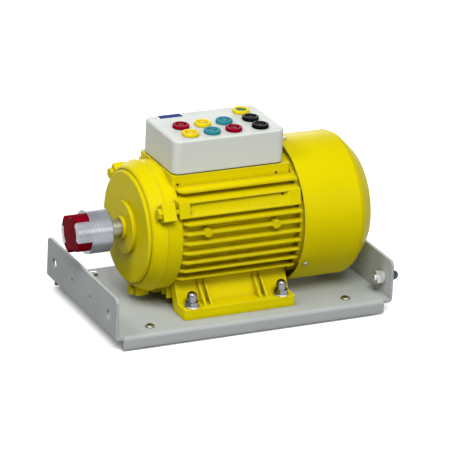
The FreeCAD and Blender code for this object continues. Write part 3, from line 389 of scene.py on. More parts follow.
def coated(name, colour, own):
    """Sprayed paint or moulded plastic: mottled colour, painted edge highlight, painted shade and pale dirt
    in corners, orange peel.
    """
    look = {"mottle_colour": tinted(colour, COAT_MOTTLE_SHADE), **COATED, **own}
    material, tree, shader = new_material(name, colour)
    edge = grouped(tree, "edge_highlight", {"Radius": look["edge_r"]})
    dust_and_shade = grouped(tree, "corner_dust_and_shade", {"Reach": look["reach"], "Strength": look["dust_and_shade"]})
    peel = grouped(tree, "paint_peel", {"Wave Scale": look["waves"], "Grain Share": look["grain"]})
    mottled = spread(tree, peel["Mottle"], low=0.3, high=0.75)
    base = blend_colours(tree, mottled, colour, look["mottle_colour"])
    # A lighter colour on the edges: a painted highlight.
    highlit_edges = sums(tree, "MULTIPLY", edge["Mask"], look["highlight_share"])
    base = blend_colours(tree, highlit_edges, base, look["edge_colour"])
    # Painted shade in the corners and gaps, pale dirt on the black finishes.
    base = blend_colours(tree, dust_and_shade["Mask"], base, look["dust_and_shade_colour"])
    tree.links.new(base, shader.inputs["Base Color"])
    smooth, rough = look["roughness"] - COAT_SMOOTHER, look["roughness"] + COAT_ROUGHER
    patches = spread(tree, peel["Mottle"], low=0.3, high=0.7, to_low=smooth, to_high=rough)
    tree.links.new(patches, shader.inputs["Roughness"])
    normal = bumped(tree, peel["Height"], look["bump"], COAT_BUMP, edge["Normal"])
    tree.links.new(normal, shader.inputs["Normal"])
    shader.inputs["Specular IOR Level"].default_value = look["specular"]
    return material


def bare_metal(name, colour, own):
    """Plated, cast or ground metal: fine grain in colour and roughness, painted edge highlight, painted
    corner shade.
    """
    look = {**BARE, **own}
    material, tree, shader = new_material(name, colour)
    edge = grouped(tree, "edge_highlight", {"Radius": look["edge_r"]})
    dust_and_shade = grouped(tree, "corner_dust_and_shade", {"Reach": METAL_REACH, "Strength": METAL_CORNER_SHADE})
    grain = noise(tree, look["grain"], detail=3.0)
    cloud = spread(tree, noise(tree, METAL_CLOUD_SCALE, detail=3.0), low=0.35, high=0.7, to_high=0.7)
    base = blend_colours(tree, cloud, colour, tinted(colour, METAL_DULL_SHADE))
    # A lighter tint on the edges: a painted highlight.
    highlit_edges = sums(tree, "MULTIPLY", edge["Mask"], METAL_EDGE_HIGHLIGHT)
    base = blend_colours(tree, highlit_edges, base, tinted(colour, METAL_BRIGHT_SHADE))
    # Painted shade in the corners and gaps.
    base = blend_colours(tree, dust_and_shade["Mask"], base, look["dust_and_shade_colour"])
    tree.links.new(base, shader.inputs["Base Color"])
    smooth, rough = look["roughness"] - METAL_SMOOTHER, look["roughness"] + METAL_ROUGHER
    patches = spread(tree, grain, low=0.3, high=0.7, to_low=smooth, to_high=rough)
    tree.links.new(patches, shader.inputs["Roughness"])
    height = grain
    if look["turned"]:
        height = grouped(tree, "turning_marks", {"Pitch": look["turned"]})["Height"]
    normal = bumped(tree, height, look["bump"], METAL_BUMP, edge["Normal"])
    tree.links.new(normal, shader.inputs["Normal"])
    shader.inputs["Metallic"].default_value = 1.0
    return material


def socket_plastic(colour):
    """A glossy plastic's look, with painted highlight on its edges and painted shade in its corners, in its
    own colour.
    """
    return {
        "edge_r": 0.5 * MM, "edge_colour": tinted(colour, 1.25, 0.03), "dust_and_shade_colour": tinted(colour, 0.4),
        "highlight_share": 0.35, "reach": 3.0 * MM, "dust_and_shade": 0.9, "waves": 900.0, "roughness": 0.28, "specular": 0.015,
        "bump": 0.08}


SOCKET_COLOURS = {
    "red_plastic": srgb(150, 0, 38),
    "yellow_plastic": srgb(246, 218, 30),
    "teal_plastic": srgb(48, 142, 158),
    "black_plastic": srgb(15, 17, 20)}

# Each edge colour below is a painted highlight.
COATINGS = {
    "yellow_paint": ("yellow_enamel", srgb(229, 212, 3), {
        "mottle_colour": srgb(222, 205, 2), "edge_colour": srgb(255, 247, 130),
        "dust_and_shade_colour": srgb(112, 98, 2), "edge_r": 0.8 * MM, "highlight_share": 0.75, "reach": 6.2 * MM, "dust_and_shade": 0.7,
        "roughness": 0.34, "specular": 0.03, "bump": 0.2}),
    "plate_paint": ("grey_plate_paint", srgb(184, 189, 188), {
        "mottle_colour": srgb(179, 184, 184), "edge_colour": srgb(216, 221, 221),
        "dust_and_shade_colour": srgb(84, 86, 82), "edge_r": 0.8 * MM, "highlight_share": 0.6, "dust_and_shade": 0.5, "waves": 700.0,
        "grain": 0.6, "roughness": 0.5, "specular": 0.12, "bump": 0.18}),
    "box_plastic": ("light_grey_plastic", srgb(217, 221, 215), {
        "mottle_colour": srgb(213, 217, 211), "edge_colour": srgb(228, 232, 224),
        "dust_and_shade_colour": srgb(140, 140, 124), "edge_r": 1.8 * MM, "highlight_share": 0.4, "dust_and_shade": 0.35, "waves": 1200.0,
        "roughness": 0.5, "specular": 0.12, "bump": 0.1}),
    **{slot: (slot, colour, socket_plastic(colour)) for slot, colour in SOCKET_COLOURS.items()},
    "earth_green": ("earth_green_plastic", srgb(30, 124, 92), {
        "edge_colour": srgb(60, 150, 110), "dust_and_shade_colour": srgb(15, 60, 40), "edge_r": 0.4 * MM,
        "reach": 3.0 * MM, "roughness": 0.3, "specular": 0.015, "bump": 0.08}),
    "rubber_black": ("black_rubber", srgb(38, 38, 38), {
        "edge_colour": srgb(62, 62, 60), "dust_and_shade_colour": srgb(70, 68, 62), "edge_r": 0.6 * MM, "dust_and_shade": 0.4,
        "waves": 900.0, "roughness": 0.7, "specular": 0.3, "bump": 0.3}),
    "spider_red": ("crimson_elastomer", srgb(138, 6, 30), {
        "mottle_colour": srgb(122, 3, 24), "edge_colour": srgb(150, 34, 48), "dust_and_shade_colour": srgb(60, 4, 12),
        "edge_r": 0.7 * MM, "highlight_share": 0.3, "reach": 5.0 * MM, "waves": 500.0, "roughness": 0.46,
        "specular": 0.01, "bump": 0.3}),
    "fan_plastic": ("black_fan_plastic", srgb(42, 42, 43), {
        "edge_colour": srgb(70, 70, 70), "dust_and_shade_colour": srgb(84, 80, 72), "dust_and_shade": 0.5, "roughness": 0.5,
        "bump": 0.15}),
    # A thin dark disc of this stands for the shade inside each tapped hole: painted shadow.
    "dark_hole": ("hole_shadow", srgb(70, 62, 6), {
        "edge_colour": srgb(84, 76, 10), "dust_and_shade_colour": srgb(34, 30, 4), "roughness": 0.8,
        "specular": 0.02}),
    "lid_blue": ("blue_print", srgb(12, 50, 122), {
        "mottle_colour": srgb(10, 46, 116), "edge_colour": srgb(16, 56, 130),
        "dust_and_shade_colour": srgb(10, 36, 90), "edge_r": 0.1 * MM, "roughness": 0.5, "specular": 0.02,
        "bump": 0.05})}

METALS = {
    "copper": ("enamelled_copper", srgb(186, 104, 60), {"grain": 1500.0, "roughness": 0.35, "bump": 0.3}),
    "zinc_steel": ("zinc_plated_steel", srgb(226, 227, 226), {"roughness": 0.38, "bump": 0.15}),
    "passivated_zinc": ("yellow_passivated_zinc", srgb(158, 157, 144), {
        "dust_and_shade_colour": srgb(60, 56, 30), "roughness": 0.18, "bump": 0.15}),
    "nut_chrome": ("polished_nut_steel", srgb(128, 129, 132), {"roughness": 0.08, "bump": 0.05}),
    "dark_steel": ("blackened_steel", srgb(70, 72, 76), {"roughness": 0.22, "bump": 0.1}),
    "bearing_steel": ("ground_steel", srgb(186, 188, 190), {
        "roughness": 0.34, "bump": 0.12, "turned": 3000.0}),
    "core_steel": ("stacked_sheet_steel", srgb(120, 122, 126), {
        "roughness": 0.4, "bump": 0.6, "turned": 2000.0}),
    "cast_aluminium": ("cast_aluminium", srgb(200, 201, 203), {"roughness": 0.45, "bump": 0.4}),
    "turned_aluminium": ("turned_aluminium", srgb(148, 151, 157), {
        "dust_and_shade_colour": srgb(60, 60, 64), "edge_r": 0.6 * MM, "bump": 0.5, "turned": 2200.0}),
    "contact_nickel": ("nickel_plated_brass", srgb(206, 200, 178), {"roughness": 0.25})}


def make_finishes():
    """Every finish by its slot's name, or by its own name where no slot has it."""
    made = {slot: coated(*finish) for slot, finish in COATINGS.items()}
    made.update({slot: bare_metal(*finish) for slot, finish in METALS.items()})
    return made


# Camera, lamps and floor


def placed(name, data):
    """A new object in the scene that holds a mesh, a lamp or a camera."""
    holder = bpy.data.objects.new(name, data)
    bpy.context.scene.collection.objects.link(holder)
    return holder


def camera():
    """The photograph's camera, aimed so that the motor's middle falls on its pixel."""
    back = Vector((math.sin(CAMERA_TURN) * math.cos(CAMERA_RISE),
                   -math.cos(CAMERA_TURN) * math.cos(CAMERA_RISE), math.sin(CAMERA_RISE)))
    right = Vector((math.cos(CAMERA_TURN), math.sin(CAMERA_TURN), 0.0))
    up = back.cross(right)
    rolled_right = right * math.cos(CAMERA_ROLL) + up * math.sin(CAMERA_ROLL)
    rolled_up = up * math.cos(CAMERA_ROLL) - right * math.sin(CAMERA_ROLL)
    per_pixel = CAMERA_DISTANCE / FOCAL_PIXELS
    slide = (PHOTO_SIDE / 2.0 - AIM_PIXEL[0]) * per_pixel
    lift = -(PHOTO_SIDE / 2.0 - AIM_PIXEL[1]) * per_pixel
    aim = at_motor(0.0, 0.0, 0.0)
    view = Matrix((rolled_right, rolled_up, back)).transposed().to_4x4()
    view.translation = aim + rolled_right * slide + rolled_up * lift + back * CAMERA_DISTANCE
    data = bpy.data.cameras.new("photo_camera")
    data.sensor_width = SENSOR
    data.lens = FOCAL_PIXELS / PHOTO_SIDE * SENSOR
    data.clip_end = VIEW_END
    holder = placed("photo_camera", data)
    holder.matrix_world = view
    bpy.context.scene.camera = holder


def lamp(name, place, size, power):
    """A soft lamp that looks at the object."""
    data = bpy.data.lights.new(name, "AREA")
    data.shape = "RECTANGLE"
    data.size, data.size_y = size
    data.energy = power
    holder = placed(name, data)
    holder.location = place
    holder.rotation_euler = (LAMP_AIM - Vector(place)).to_track_quat("-Z", "Y").to_euler()


def background_rays(tree):
    """One for rays from the camera, from glossy surfaces and through glass, which see the white room."""
    rays = put(tree, "ShaderNodeLightPath").outputs
    direct = sums(tree, "MAXIMUM", rays["Is Camera Ray"], rays["Is Glossy Ray"])
    return sums(tree, "MAXIMUM", direct, rays["Is Transmission Ray"])


def white_world():
    """A world that looks white and lights the object softly."""
    world = bpy.data.worlds.new("studio")
    bpy.context.scene.world = world
    world.use_nodes = True
    tree = world.node_tree
    tree.nodes.clear()
    light = put(tree, "ShaderNodeBackground", {"Color": SKY_TINT, "Strength": SKY_STRENGTH})
    white = put(tree, "ShaderNodeBackground", {"Color": WHITE, "Strength": 1.0})
    seen = background_rays(tree)
    both = put(tree, "ShaderNodeMixShader", {0: seen, 1: light.outputs[0], 2: white.outputs[0]})
    put(tree, "ShaderNodeOutputWorld", {0: both.outputs[0]})


def floor_glow(tree, shown):
    """The floor's own light for the background's rays: weak near the object, a painted contact shadow, and
    full away from it.
    """
    openness = put(tree, "ShaderNodeAmbientOcclusion", {"Distance": FLOOR_SHADOW_REACH}, samples=8)
    place = put(tree, "ShaderNodeTexCoord").outputs["Object"]
    away = put(tree, "ShaderNodeVectorMath", {0: place}, operation="LENGTH").outputs["Value"]
    near_level = spread(tree, openness.outputs["AO"], low=0.15, high=0.65, to_low=0.08, to_high=0.62)
    far_level = spread(tree, away, low=0.5, high=1.4, to_high=0.5)
    strength = sums(tree, "MULTIPLY", shown, sums(tree, "ADD", near_level, far_level))
    return put(tree, "ShaderNodeEmission", {"Color": WHITE, "Strength": strength})


def pale_floor():
    """A floor that looks white, keeps the object's shadow and throws little light back on it."""
    mesh = bpy.data.meshes.new("floor")
    shell = bmesh.new()
    bmesh.ops.create_grid(shell, x_segments=1, y_segments=1, size=FLOOR_HALF)
    shell.to_mesh(mesh)
    shell.free()
    floor = placed("floor", mesh)
    material, tree, shader = new_material("pale_floor", FLOOR_TO_CAMERA)
    shown = background_rays(tree)
    tone = blend_colours(tree, shown, FLOOR_UNDER_LIGHT, FLOOR_TO_CAMERA)
    tree.links.new(tone, shader.inputs["Base Color"])
    shader.inputs["Roughness"].default_value = FLOOR_ROUGHNESS
    shader.inputs["Specular IOR Level"].default_value = 0.0
    glow = floor_glow(tree, shown)
    total = put(tree, "ShaderNodeAddShader", {0: shader.outputs[0], 1: glow.outputs[0]})
    out = next(n for n in tree.nodes if n.type == "OUTPUT_MATERIAL")
    tree.links.new(total.outputs[0], out.inputs["Surface"])
    give(floor, material)


def studio():
    """White room: soft lamps, an even world and a pale floor."""
    bpy.context.scene.view_settings.view_transform = "Standard"
    white_world()
    for name, (place, size, power) in LAMPS.items():
        lamp(name, place, size, power)
    pale_floor()


# Helpers for pieces


def merged(*nodes):
    """The frame's nodes as one shell with their points joined."""
    shell = bmesh.new()
    for node in nodes:
        mesh = frame["nodes"][node].data.copy()
        for label in ("custom_normal", "sharp_edge", "sharp_face"):
            if label in mesh.attributes:
                mesh.attributes.remove(mesh.attributes[label])
        shell.from_mesh(mesh)
    bmesh.ops.remove_doubles(shell, verts=shell.verts, dist=JOIN_DISTANCE)
    return shell


def finished(name, shell, sharp=SHARP_EDGE):
    """An object from the shell, with smooth rounds and sharp edges."""
    for face in shell.faces:
        face.smooth = True
    for edge in shell.edges:
        edge.smooth = len(edge.link_faces) == 2 and edge.calc_face_angle(math.pi) < sharp
    mesh = bpy.data.meshes.new(name)
    shell.to_mesh(mesh)
    shell.free()
    return placed(name, mesh)


def give(piece, material):
    """The piece in one finish."""
    piece.data.materials.clear()
    piece.data.materials.append(material)
    return piece


def seated(piece, node, replaces=True):
    """The piece moves with the body of the node that it stands for or sits on."""
    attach(piece, BODY_OF[node])
    if replaces:
        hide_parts(node)


def solid_boxes(node):
    """The lowest and highest corner of each separate solid of a node, from its own mesh."""
    shell = merged(node)
    left = set(shell.verts)
    boxes = []
    while left:
        seed = left.pop()
        island = [seed]
        stack = [seed]
        while stack:
            vert = stack.pop()
            for edge in vert.link_edges:
                other = edge.other_vert(vert)
                if other in left:
                    left.discard(other)
                    stack.append(other)
                    island.append(other)
        low = Vector([min(v.co[k] for v in island) for k in range(3)])
        high = Vector([max(v.co[k] for v in island) for k in range(3)])
        boxes.append((low, high))
    shell.free()
    return sorted(boxes, key=lambda box: tuple(round(c, 5) for c in box[0]))


def lathed(name, outline, places, sides, material):
    """Pieces turned about X on one mesh: an outline of (radius, place along X) pairs spun at each place."""
    shell = bmesh.new()
    for place in places:
        rings = []
        for r, x in outline:
            ring = []
            for i in range(sides if r > 0 else 1):
                a = 2.0 * math.pi * i / sides
                spot = Vector((x, r * math.cos(a), r * math.sin(a))) + Vector(place)
                ring.append(shell.verts.new(spot))
            rings.append(ring)
        for low, high in zip(rings, rings[1:]):
            for i in range(sides):
                j = (i + 1) % sides
                corners = [low[i % len(low)], low[j % len(low)], high[j % len(high)], high[i % len(high)]]
                corners = [c for k, c in enumerate(corners) if c not in corners[:k]]
                if len(corners) > 2:
                    shell.faces.new(corners)
    bmesh.ops.remove_doubles(shell, verts=shell.verts, dist=JOIN_DISTANCE)
    bmesh.ops.recalc_face_normals(shell, faces=shell.faces)
    return give(finished(name, shell), material)


def bead(name, r, x, size):
    """A round bead of yellow enamel about the shaft axis."""
    turns = [2.0 * math.pi * i / BEAD_SIDES for i in range(BEAD_SIDES + 1)]
    outline = [(r + size * math.cos(a), x + size * math.sin(a)) for a in turns]
    return lathed(name, outline, [(0.0, 0.0, SHAFT_LEVEL)], RIM_SIDES, FINISH["yellow_paint"])


# Geometry node trees for what repeats


def new_maker(name, sizes):
    """A geometry node tree with named size inputs. It takes points, each with its facing direction."""
    tree = bpy.data.node_groups.new(name, "GeometryNodeTree")
    tree.interface.new_socket(name="Places", in_out="INPUT", socket_type="NodeSocketGeometry")
    for label in sizes:
        tree.interface.new_socket(name=label, in_out="INPUT", socket_type="NodeSocketFloat")
    tree.interface.new_socket(name="Finish", in_out="INPUT", socket_type="NodeSocketMaterial")
    tree.interface.new_socket(name="Pieces", in_out="OUTPUT", socket_type="NodeSocketGeometry")
    return tree, tree.nodes.new("NodeGroupInput").outputs


def less_than(tree, a, b):
    """True where a is below b."""
    feeds = {0: a, 1: b}
    return put(tree, "FunctionNodeCompare", feeds, data_type="FLOAT", operation="LESS_THAN").outputs[0]


def end_maker(tree, given, shape):
    """The shape on every point, turned to the point's direction, smooth but for its sharp edges."""
    facing = put(tree, "GeometryNodeInputNamedAttribute", {"Name": "facing"}, data_type="FLOAT_VECTOR")
    turn = put(tree, "FunctionNodeAlignRotationToVector", {"Vector": facing.outputs["Attribute"]}, axis="Z")
    copies = put(tree, "GeometryNodeInstanceOnPoints", {
        "Points": given["Places"], "Instance": shape, "Rotation": turn.outputs[0]})
    real = put(tree, "GeometryNodeRealizeInstances", {0: copies.outputs[0]})
    smooth = put(tree, "GeometryNodeSetShadeSmooth", {"Geometry": real.outputs[0], "Shade Smooth": True})
    angle = put(tree, "GeometryNodeInputMeshEdgeAngle").outputs["Unsigned Angle"]
    edges = put(tree, "GeometryNodeSetShadeSmooth", {
        "Geometry": smooth.outputs[0], "Shade Smooth": less_than(tree, angle, SHARP_EDGE)}, domain="EDGE")
    dressed = put(tree, "GeometryNodeSetMaterial", {
        "Geometry": edges.outputs[0], "Material": given["Finish"]})
    put(tree, "NodeGroupOutput", {0: dressed.outputs[0]})
    return tree


def joined_up(tree, shapes):
    """The shapes as one geometry."""
    node = tree.nodes.new("GeometryNodeJoinGeometry")
    for shape in reversed(shapes):
        tree.links.new(shape, node.inputs[0])
    return node.outputs[0]


def lifted(tree, shape, height):
    """The shape moved up."""
    move = put(tree, "ShaderNodeCombineXYZ", {"Z": height})
    return put(tree, "GeometryNodeTransform", {"Geometry": shape, "Translation": move.outputs[0]}).outputs[0]


def ring_shape(tree, outer, inner, height, round_r):
    """A ring that stands on its place: a circle swept by a rectangle with rounded corners."""
    middle = sums(tree, "MULTIPLY", sums(tree, "ADD", outer, inner), 0.5)
    width = sums(tree, "SUBTRACT", outer, inner)
    circle = put(tree, "GeometryNodeCurvePrimitiveCircle", {"Resolution": RING_SIDES, "Radius": middle})
    section = put(tree, "GeometryNodeCurvePrimitiveQuadrilateral", {"Width": width, "Height": height})
    soft = put(tree, "GeometryNodeFilletCurve", {
        "Curve": section.outputs[0], "Count": ROUNDING_STEPS, "Radius": round_r,
        "Limit Radius": True}, mode="POLY")
    ring = put(tree, "GeometryNodeCurveToMesh", {
        "Curve": circle.outputs[0], "Profile Curve": soft.outputs[0]})
    return lifted(tree, ring.outputs[0], sums(tree, "MULTIPLY", height, 0.5))


def drum_shape(tree, radius, height, sides=DRUM_SIDES):
    """A drum that stands on its place."""
    drum = put(tree, "GeometryNodeMeshCylinder", {"Vertices": sides, "Radius": radius, "Depth": height})
    return lifted(tree, drum.outputs["Mesh"], sums(tree, "MULTIPLY", height, 0.5))


def dome_shape(tree, radius, rise, level):
    """A half ball pressed to the given rise, its rim at the given level."""
    ball = put(tree, "GeometryNodeMeshUVSphere", {
        "Segments": DOME_SEGMENTS, "Rings": DOME_RINGS, "Radius": radius})
    place = put(tree, "GeometryNodeInputPosition")
    high = put(tree, "ShaderNodeSeparateXYZ", {0: place.outputs[0]}).outputs["Z"]
    half = put(tree, "GeometryNodeDeleteGeometry", {
        "Geometry": ball.outputs["Mesh"], "Selection": less_than(tree, high, DOME_CUT)})
    scale = put(tree, "ShaderNodeCombineXYZ", {"X": 1.0, "Y": 1.0, "Z": sums(tree, "DIVIDE", rise, radius)})
    move = put(tree, "ShaderNodeCombineXYZ", {"Z": level})
    return put(tree, "GeometryNodeTransform", {
        "Geometry": half.outputs[0], "Translation": move.outputs[0], "Scale": scale.outputs[0]}).outputs[0]


def ring_maker():
    """Rings with rounded rims."""
    tree, given = new_maker("rings", ("Outer Radius", "Inner Radius", "Height", "Rounding", "Level"))
    ring = ring_shape(tree, given["Outer Radius"], given["Inner Radius"], given["Height"], given["Rounding"])
    return end_maker(tree, given, lifted(tree, ring, given["Level"]))


def screw_maker():
    """Pan heads: a low drum under a flat dome."""
    tree, given = new_maker("screw_heads", ("Head Radius", "Rise"))
    wall = sums(tree, "MULTIPLY", given["Rise"], HEAD_WALL_SHARE)
    drum = drum_shape(tree, given["Head Radius"], wall)
    rise = sums(tree, "MULTIPLY", given["Rise"], 1.0 - HEAD_WALL_SHARE)
    dome = dome_shape(tree, given["Head Radius"], rise, wall)
    return end_maker(tree, given, joined_up(tree, [drum, dome]))


def cap_nut_maker():
    """Cap nuts: a hexagon, a neck and a tall dome."""
    tree, given = new_maker("cap_nuts", tuple(CAP_NUT))
    hexagon = drum_shape(tree, given["Hex Radius"], given["Hex Height"], HEXAGON)
    neck_top = sums(tree, "ADD", given["Hex Height"], given["Neck Height"])
    neck = drum_shape(tree, given["Dome Radius"], neck_top)
    dome = dome_shape(tree, given["Dome Radius"], given["Dome Rise"], neck_top)
    return end_maker(tree, given, joined_up(tree, [hexagon, neck, dome]))


def repeated(name, maker, places, sizes, material):
    """A plain mesh of the maker's pieces at the places. They face up unless a place carries a direction."""
    mesh = bpy.data.meshes.new(name)
    mesh.from_pydata([tuple(p[:3]) for p in places], [], [])
    directions = mesh.attributes.new("facing", "FLOAT_VECTOR", "POINT")
    for i, place in enumerate(places):
        directions.data[i].vector = place[3:] if len(place) > 3 else (0.0, 0.0, 1.0)
    piece = placed(name, mesh)
    modifier = piece.modifiers.new("maker", "NODES")
    modifier.node_group = maker
    values = {**sizes, "Finish": material}
    for item in maker.interface.items_tree:
        if item.item_type == "SOCKET" and item.name in values:
            modifier[item.identifier] = values[item.name]
    bpy.context.view_layer.update()
    solid = bpy.data.meshes.new_from_object(piece.evaluated_get(bpy.context.evaluated_depsgraph_get()))
    piece.modifiers.clear()
    piece.data = solid
    return piece


# The base plate and the pieces that are copies of their solids


def bent_plate():
    """Deck and end flanges as the one sheet that they are, with no faces left inside at the bend lines."""
    shell = merged("base_plate", "end_flanges")
    inner = [f for f in shell.faces for x in (PLATE_LOW[0], PLATE_HIGH[0])
             if all(abs(v.co.x - x) < BEND_LINE_MARGIN for v in f.verts)]
    bmesh.ops.delete(shell, geom=inner, context="FACES")
    piece = give(finished("bent_plate", shell), FINISH["plate_paint"])
    seated(piece, "base_plate", replaces=False)
    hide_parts("base_plate", "end_flanges")


def even_wall(shell):
    """The drive end shield's wall as one even cone, from its face's step to the joint with the frame."""
    step_x = at_motor(WALL_STEP_X, 0.0, 0.0).x
    joint_x = at_motor(WALL_JOINT_X, 0.0, 0.0).x
    for vert in shell.verts:
        out = Vector((0.0, vert.co.y, vert.co.z - SHAFT_LEVEL))
        r, x = out.length, vert.co.x
        rebate = abs(x - joint_x) < WALL_MARGIN and r < WALL_JOINT_R
        on_wall = WALL_STEP_R + WALL_MARGIN < r < WALL_RIM_R + WALL_MARGIN and not rebate
        if on_wall and step_x < x < joint_x + WALL_MARGIN:
            new_r = WALL_STEP_R + (WALL_JOINT_R - WALL_STEP_R) * (x - step_x) / (joint_x - step_x)
        elif x < step_x + WALL_MARGIN and LIP_INNER_R < r < LIP_OUTER_R:
            new_r = r + LIP_GROWTH
        else:
            continue
        vert.co = Vector((x, 0.0, SHAFT_LEVEL)) + out * (new_r / r)


def sloped_recess(shell):
    """The shallow recess in the frame's side bars, with the sloping ends and the even floor of a casting."""
    for end, slope in RECESS_ENDS:
        for level, lift in RECESS_EDGES:
            spot = at_motor(end, 0.0, level)
            row = [v for v in shell.verts
                   if abs(v.co.x - spot.x) < RECESS_MARGIN and abs(v.co.z - spot.z) < RECESS_MARGIN]
            floor = min(abs(v.co.y) for v in row)
            for vert in row:
                if abs(vert.co.y) < floor + RECESS_FLOOR_MARGIN:
                    vert.co.x += slope
                    vert.co.y += math.copysign(lift, vert.co.y)


# Nodes whose copies change their shape, and nodes that other pieces stand for
RESHAPED = {"drive_end_shield": even_wall, "motor_frame": sloped_recess}
REMADE = {"base_plate", "end_flanges", "cap_nuts", "locating_dowels", *SOCKETS}


def main_pieces():
    """Every other node as a smooth copy of its solid in its own finish."""
    for node in sorted(set(frame["nodes"]) - REMADE):
        shell = merged(node)
        if node in RESHAPED:
            RESHAPED[node](shell)
        piece = finished(node + "_finished", shell, COWL_SHARP_EDGE if node == "fan_cowl" else SHARP_EDGE)
        seated(give(piece, FINISH[SLOT_OF[node]]), node)


# Nuts, screws and beads


def cap_nut_domes():
    """The domed nuts on the motor's feet."""
    spots = []
    for low, high in solid_boxes("cap_nuts"):
        middle = (low + high) / 2.0
        spots.append((middle.x, middle.y, low.z))
    seated(repeated("cap_nut_domes", cap_nut_maker(), spots, CAP_NUT, FINISH["nut_chrome"]), "cap_nuts")


def foot_screws(screws):
    """A pan head on the deck above each rubber foot."""
    middles = [(low + high) / 2.0 for low, high in solid_boxes("rubber_feet")]
    spots = [(middle.x, middle.y, PLATE_HIGH[2]) for middle in middles]
    heads = repeated("foot_screw_heads", screws, spots, FOOT_SCREW, FINISH["passivated_zinc"])
    seated(heads, "base_plate", replaces=False)


def lid_screws(screws):
    """A flat head in each corner of the terminal box's lid."""
    low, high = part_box("terminal_box")
    spots = [(x, y, high[2] - SCREW_SINK)
             for x in (low[0] + LID_SCREW_INSET_X, high[0] - LID_SCREW_INSET_X)
             for y in (low[1] + LID_SCREW_INSET_Y, high[1] - LID_SCREW_INSET_Y)]
    heads = repeated("box_screw_heads", screws, spots, LID_SCREW, FINISH["box_plastic"])
    seated(heads, "terminal_box", replaces=False)


def cowl_trim(screws):
    """Three screws round the fan cowl's open end, and the bead of its rim."""
    low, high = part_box("fan_cowl")
    radius = (high[1] - low[1]) / 2.0
    spots = []
    for turn in COWL_SCREW_TURNS:
        out = Vector((0.0, -math.sin(math.radians(turn)), math.cos(math.radians(turn))))
        spot = Vector((low[0] + COWL_SCREW_FROM_RIM, 0.0, SHAFT_LEVEL)) + out * (radius - SCREW_SINK)
        spots.append(tuple(spot) + tuple(out))
    heads = repeated("cowl_screw_heads", screws, spots, COWL_SCREW, FINISH["passivated_zinc"])
    seated(heads, "fan_cowl", replaces=False)
    rim = bead("cowl_rim", radius - COWL_BEAD_SINK, low[0] + COWL_BEAD_SIZE, COWL_BEAD_SIZE)
    seated(rim, "fan_cowl", replaces=False)


def shield_bead():
    """The bead beside the step at the drive end shield's face."""
    ridge = bead("shield_bead", SHIELD_BEAD_R, MOTOR_X + WALL_STEP_X, SHIELD_BEAD_SIZE)
    seated(ridge, "drive_end_shield", replaces=False)


# Sockets, tapped holes and the bar on the lid


def socket_set(node, rings):
    """Each socket: a flange with a rounded rim, a deep face, a sleeve round the contact and a deep cup."""
    spots = []
    for low, high in solid_boxes(node):
        middle = (low + high) / 2.0
        spots.append((middle.x, middle.y, high.z - SOCKET_FLANGE["Height"]))
    outside = FINISH[SLOT_OF[node]]
    inside = FINISH["earth_green"] if node == "earth_socket" else outside
    seated(repeated(node + "_flanges", rings, spots, SOCKET_FLANGE, outside), node)
    for part, sizes, finish in (("_faces", SOCKET_FACE, inside), ("_sleeves", SOCKET_SLEEVE, inside),
                                ("_cups", SOCKET_CUP, outside)):
        seated(repeated(node + part, rings, spots, sizes, finish), node, replaces=False)


def pad_holes(rings):
    """Two small tapped holes in each long side of the pad that carries the terminal box: yellow rims round
    painted shadow.
    """
    spots = [tuple(at_motor(x, side * PAD_HOLE_Y, PAD_HOLE_Z)) + (0.0, side, 0.0)
             for side in (-1.0, 1.0) for x in PAD_HOLE_X]
    rims = repeated("pad_hole_rims", rings, spots, PAD_HOLE_RIM, FINISH["yellow_paint"])
    seated(rims, "motor_frame", replaces=False)
    shadows = repeated("pad_hole_shadows", rings, spots, PAD_HOLE_SHADOW, FINISH["dark_hole"])
    seated(shadows, "motor_frame", replaces=False)


def recess_hole_shadows(rings):
    """The painted shadow of a small tapped hole near the end of the recess in each side bar."""
    spots = [tuple(at_motor(RECESS_HOLE_X, side * RECESS_HOLE_Y, RECESS_HOLE_Z))
             + (0.0, side * RECESS_HOLE_OUT, RECESS_HOLE_UP) for side in (-1.0, 1.0)]
    shadows = repeated("recess_hole_shadows", rings, spots, RECESS_HOLE_SHADOW, FINISH["dark_hole"])
    seated(shadows, "motor_frame", replaces=False)


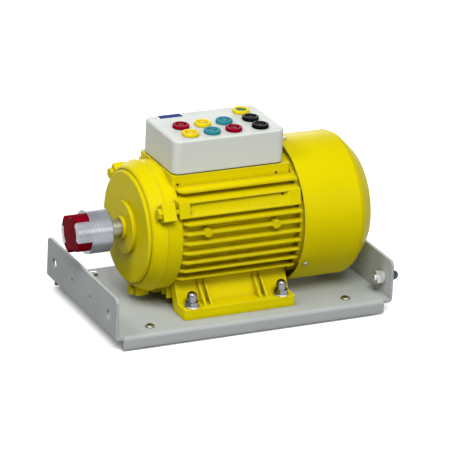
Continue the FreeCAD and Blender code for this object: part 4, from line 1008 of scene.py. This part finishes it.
def lid_bar():
    """The plain blue bar near the back corner of the terminal box's lid."""
    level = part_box("terminal_box")[1][2] + LID_BAR_PROUD
    corners = [(MOTOR_X + x * MM, y * MM, level) for x, y in LID_BAR]
    mesh = bpy.data.meshes.new("lid_bar")
    mesh.from_pydata(corners, [], [list(range(len(corners)))])
    bar = give(placed("lid_bar", mesh), FINISH["lid_blue"])
    seated(bar, "terminal_box", replaces=False)


def small_pieces():
    """Nuts, screws, beads, sockets, tapped holes and the bar."""
    rings = ring_maker()
    screws = screw_maker()
    cap_nut_domes()
    foot_screws(screws)
    lid_screws(screws)
    cowl_trim(screws)
    shield_bead()
    for node in SOCKETS:
        socket_set(node, rings)
    pad_holes(rings)
    recess_hole_shadows(rings)
    lid_bar()


def dowels():
    """Locating dowels, each with a plain tail behind the flange and a straight part with a bullet nose."""
    low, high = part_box("locating_dowels")
    reach = high[1] - DOWEL_R
    places = [(0.0, y, (low[2] + high[2]) / 2.0) for y in (-reach, reach)]
    flange_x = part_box("end_flanges")[1][0]
    nose_x = high[0] - DOWEL_NOSE
    tail = [(0.0, low[0]), (DOWEL_TAIL_END_R, low[0]), (DOWEL_TAIL_R, low[0] + DOWEL_TAIL_CHAMFER),
            (DOWEL_TAIL_R, flange_x), (0.0, flange_x)]
    tails = lathed("dowel_tails", tail, places, DOWEL_SIDES, FINISH["zinc_steel"])
    seated(tails, "locating_dowels", replaces=False)
    pin = [(0.0, flange_x), (DOWEL_ROOT_R, flange_x), (DOWEL_R, flange_x + DOWEL_ROOT_RISE),
           (DOWEL_R, nose_x)]
    for i in range(1, DOWEL_NOSE_ARCS):
        a = math.pi / 2.0 * i / DOWEL_NOSE_ARCS
        pin.append((DOWEL_R * math.cos(a) ** DOWEL_NOSE_FULLNESS, nose_x + DOWEL_NOSE * math.sin(a)))
    pin.append((0.0, nose_x + DOWEL_NOSE))
    pins = lathed("dowel_pins", pin, places, DOWEL_SIDES, FINISH["dark_steel"])
    seated(pins, "locating_dowels")


camera()
studio()
FINISH = make_finishes()
bent_plate()
main_pieces()
small_pieces()
dowels()
for node, solid in frame["nodes"].items():
    give(solid, FINISH[SLOT_OF[node]])
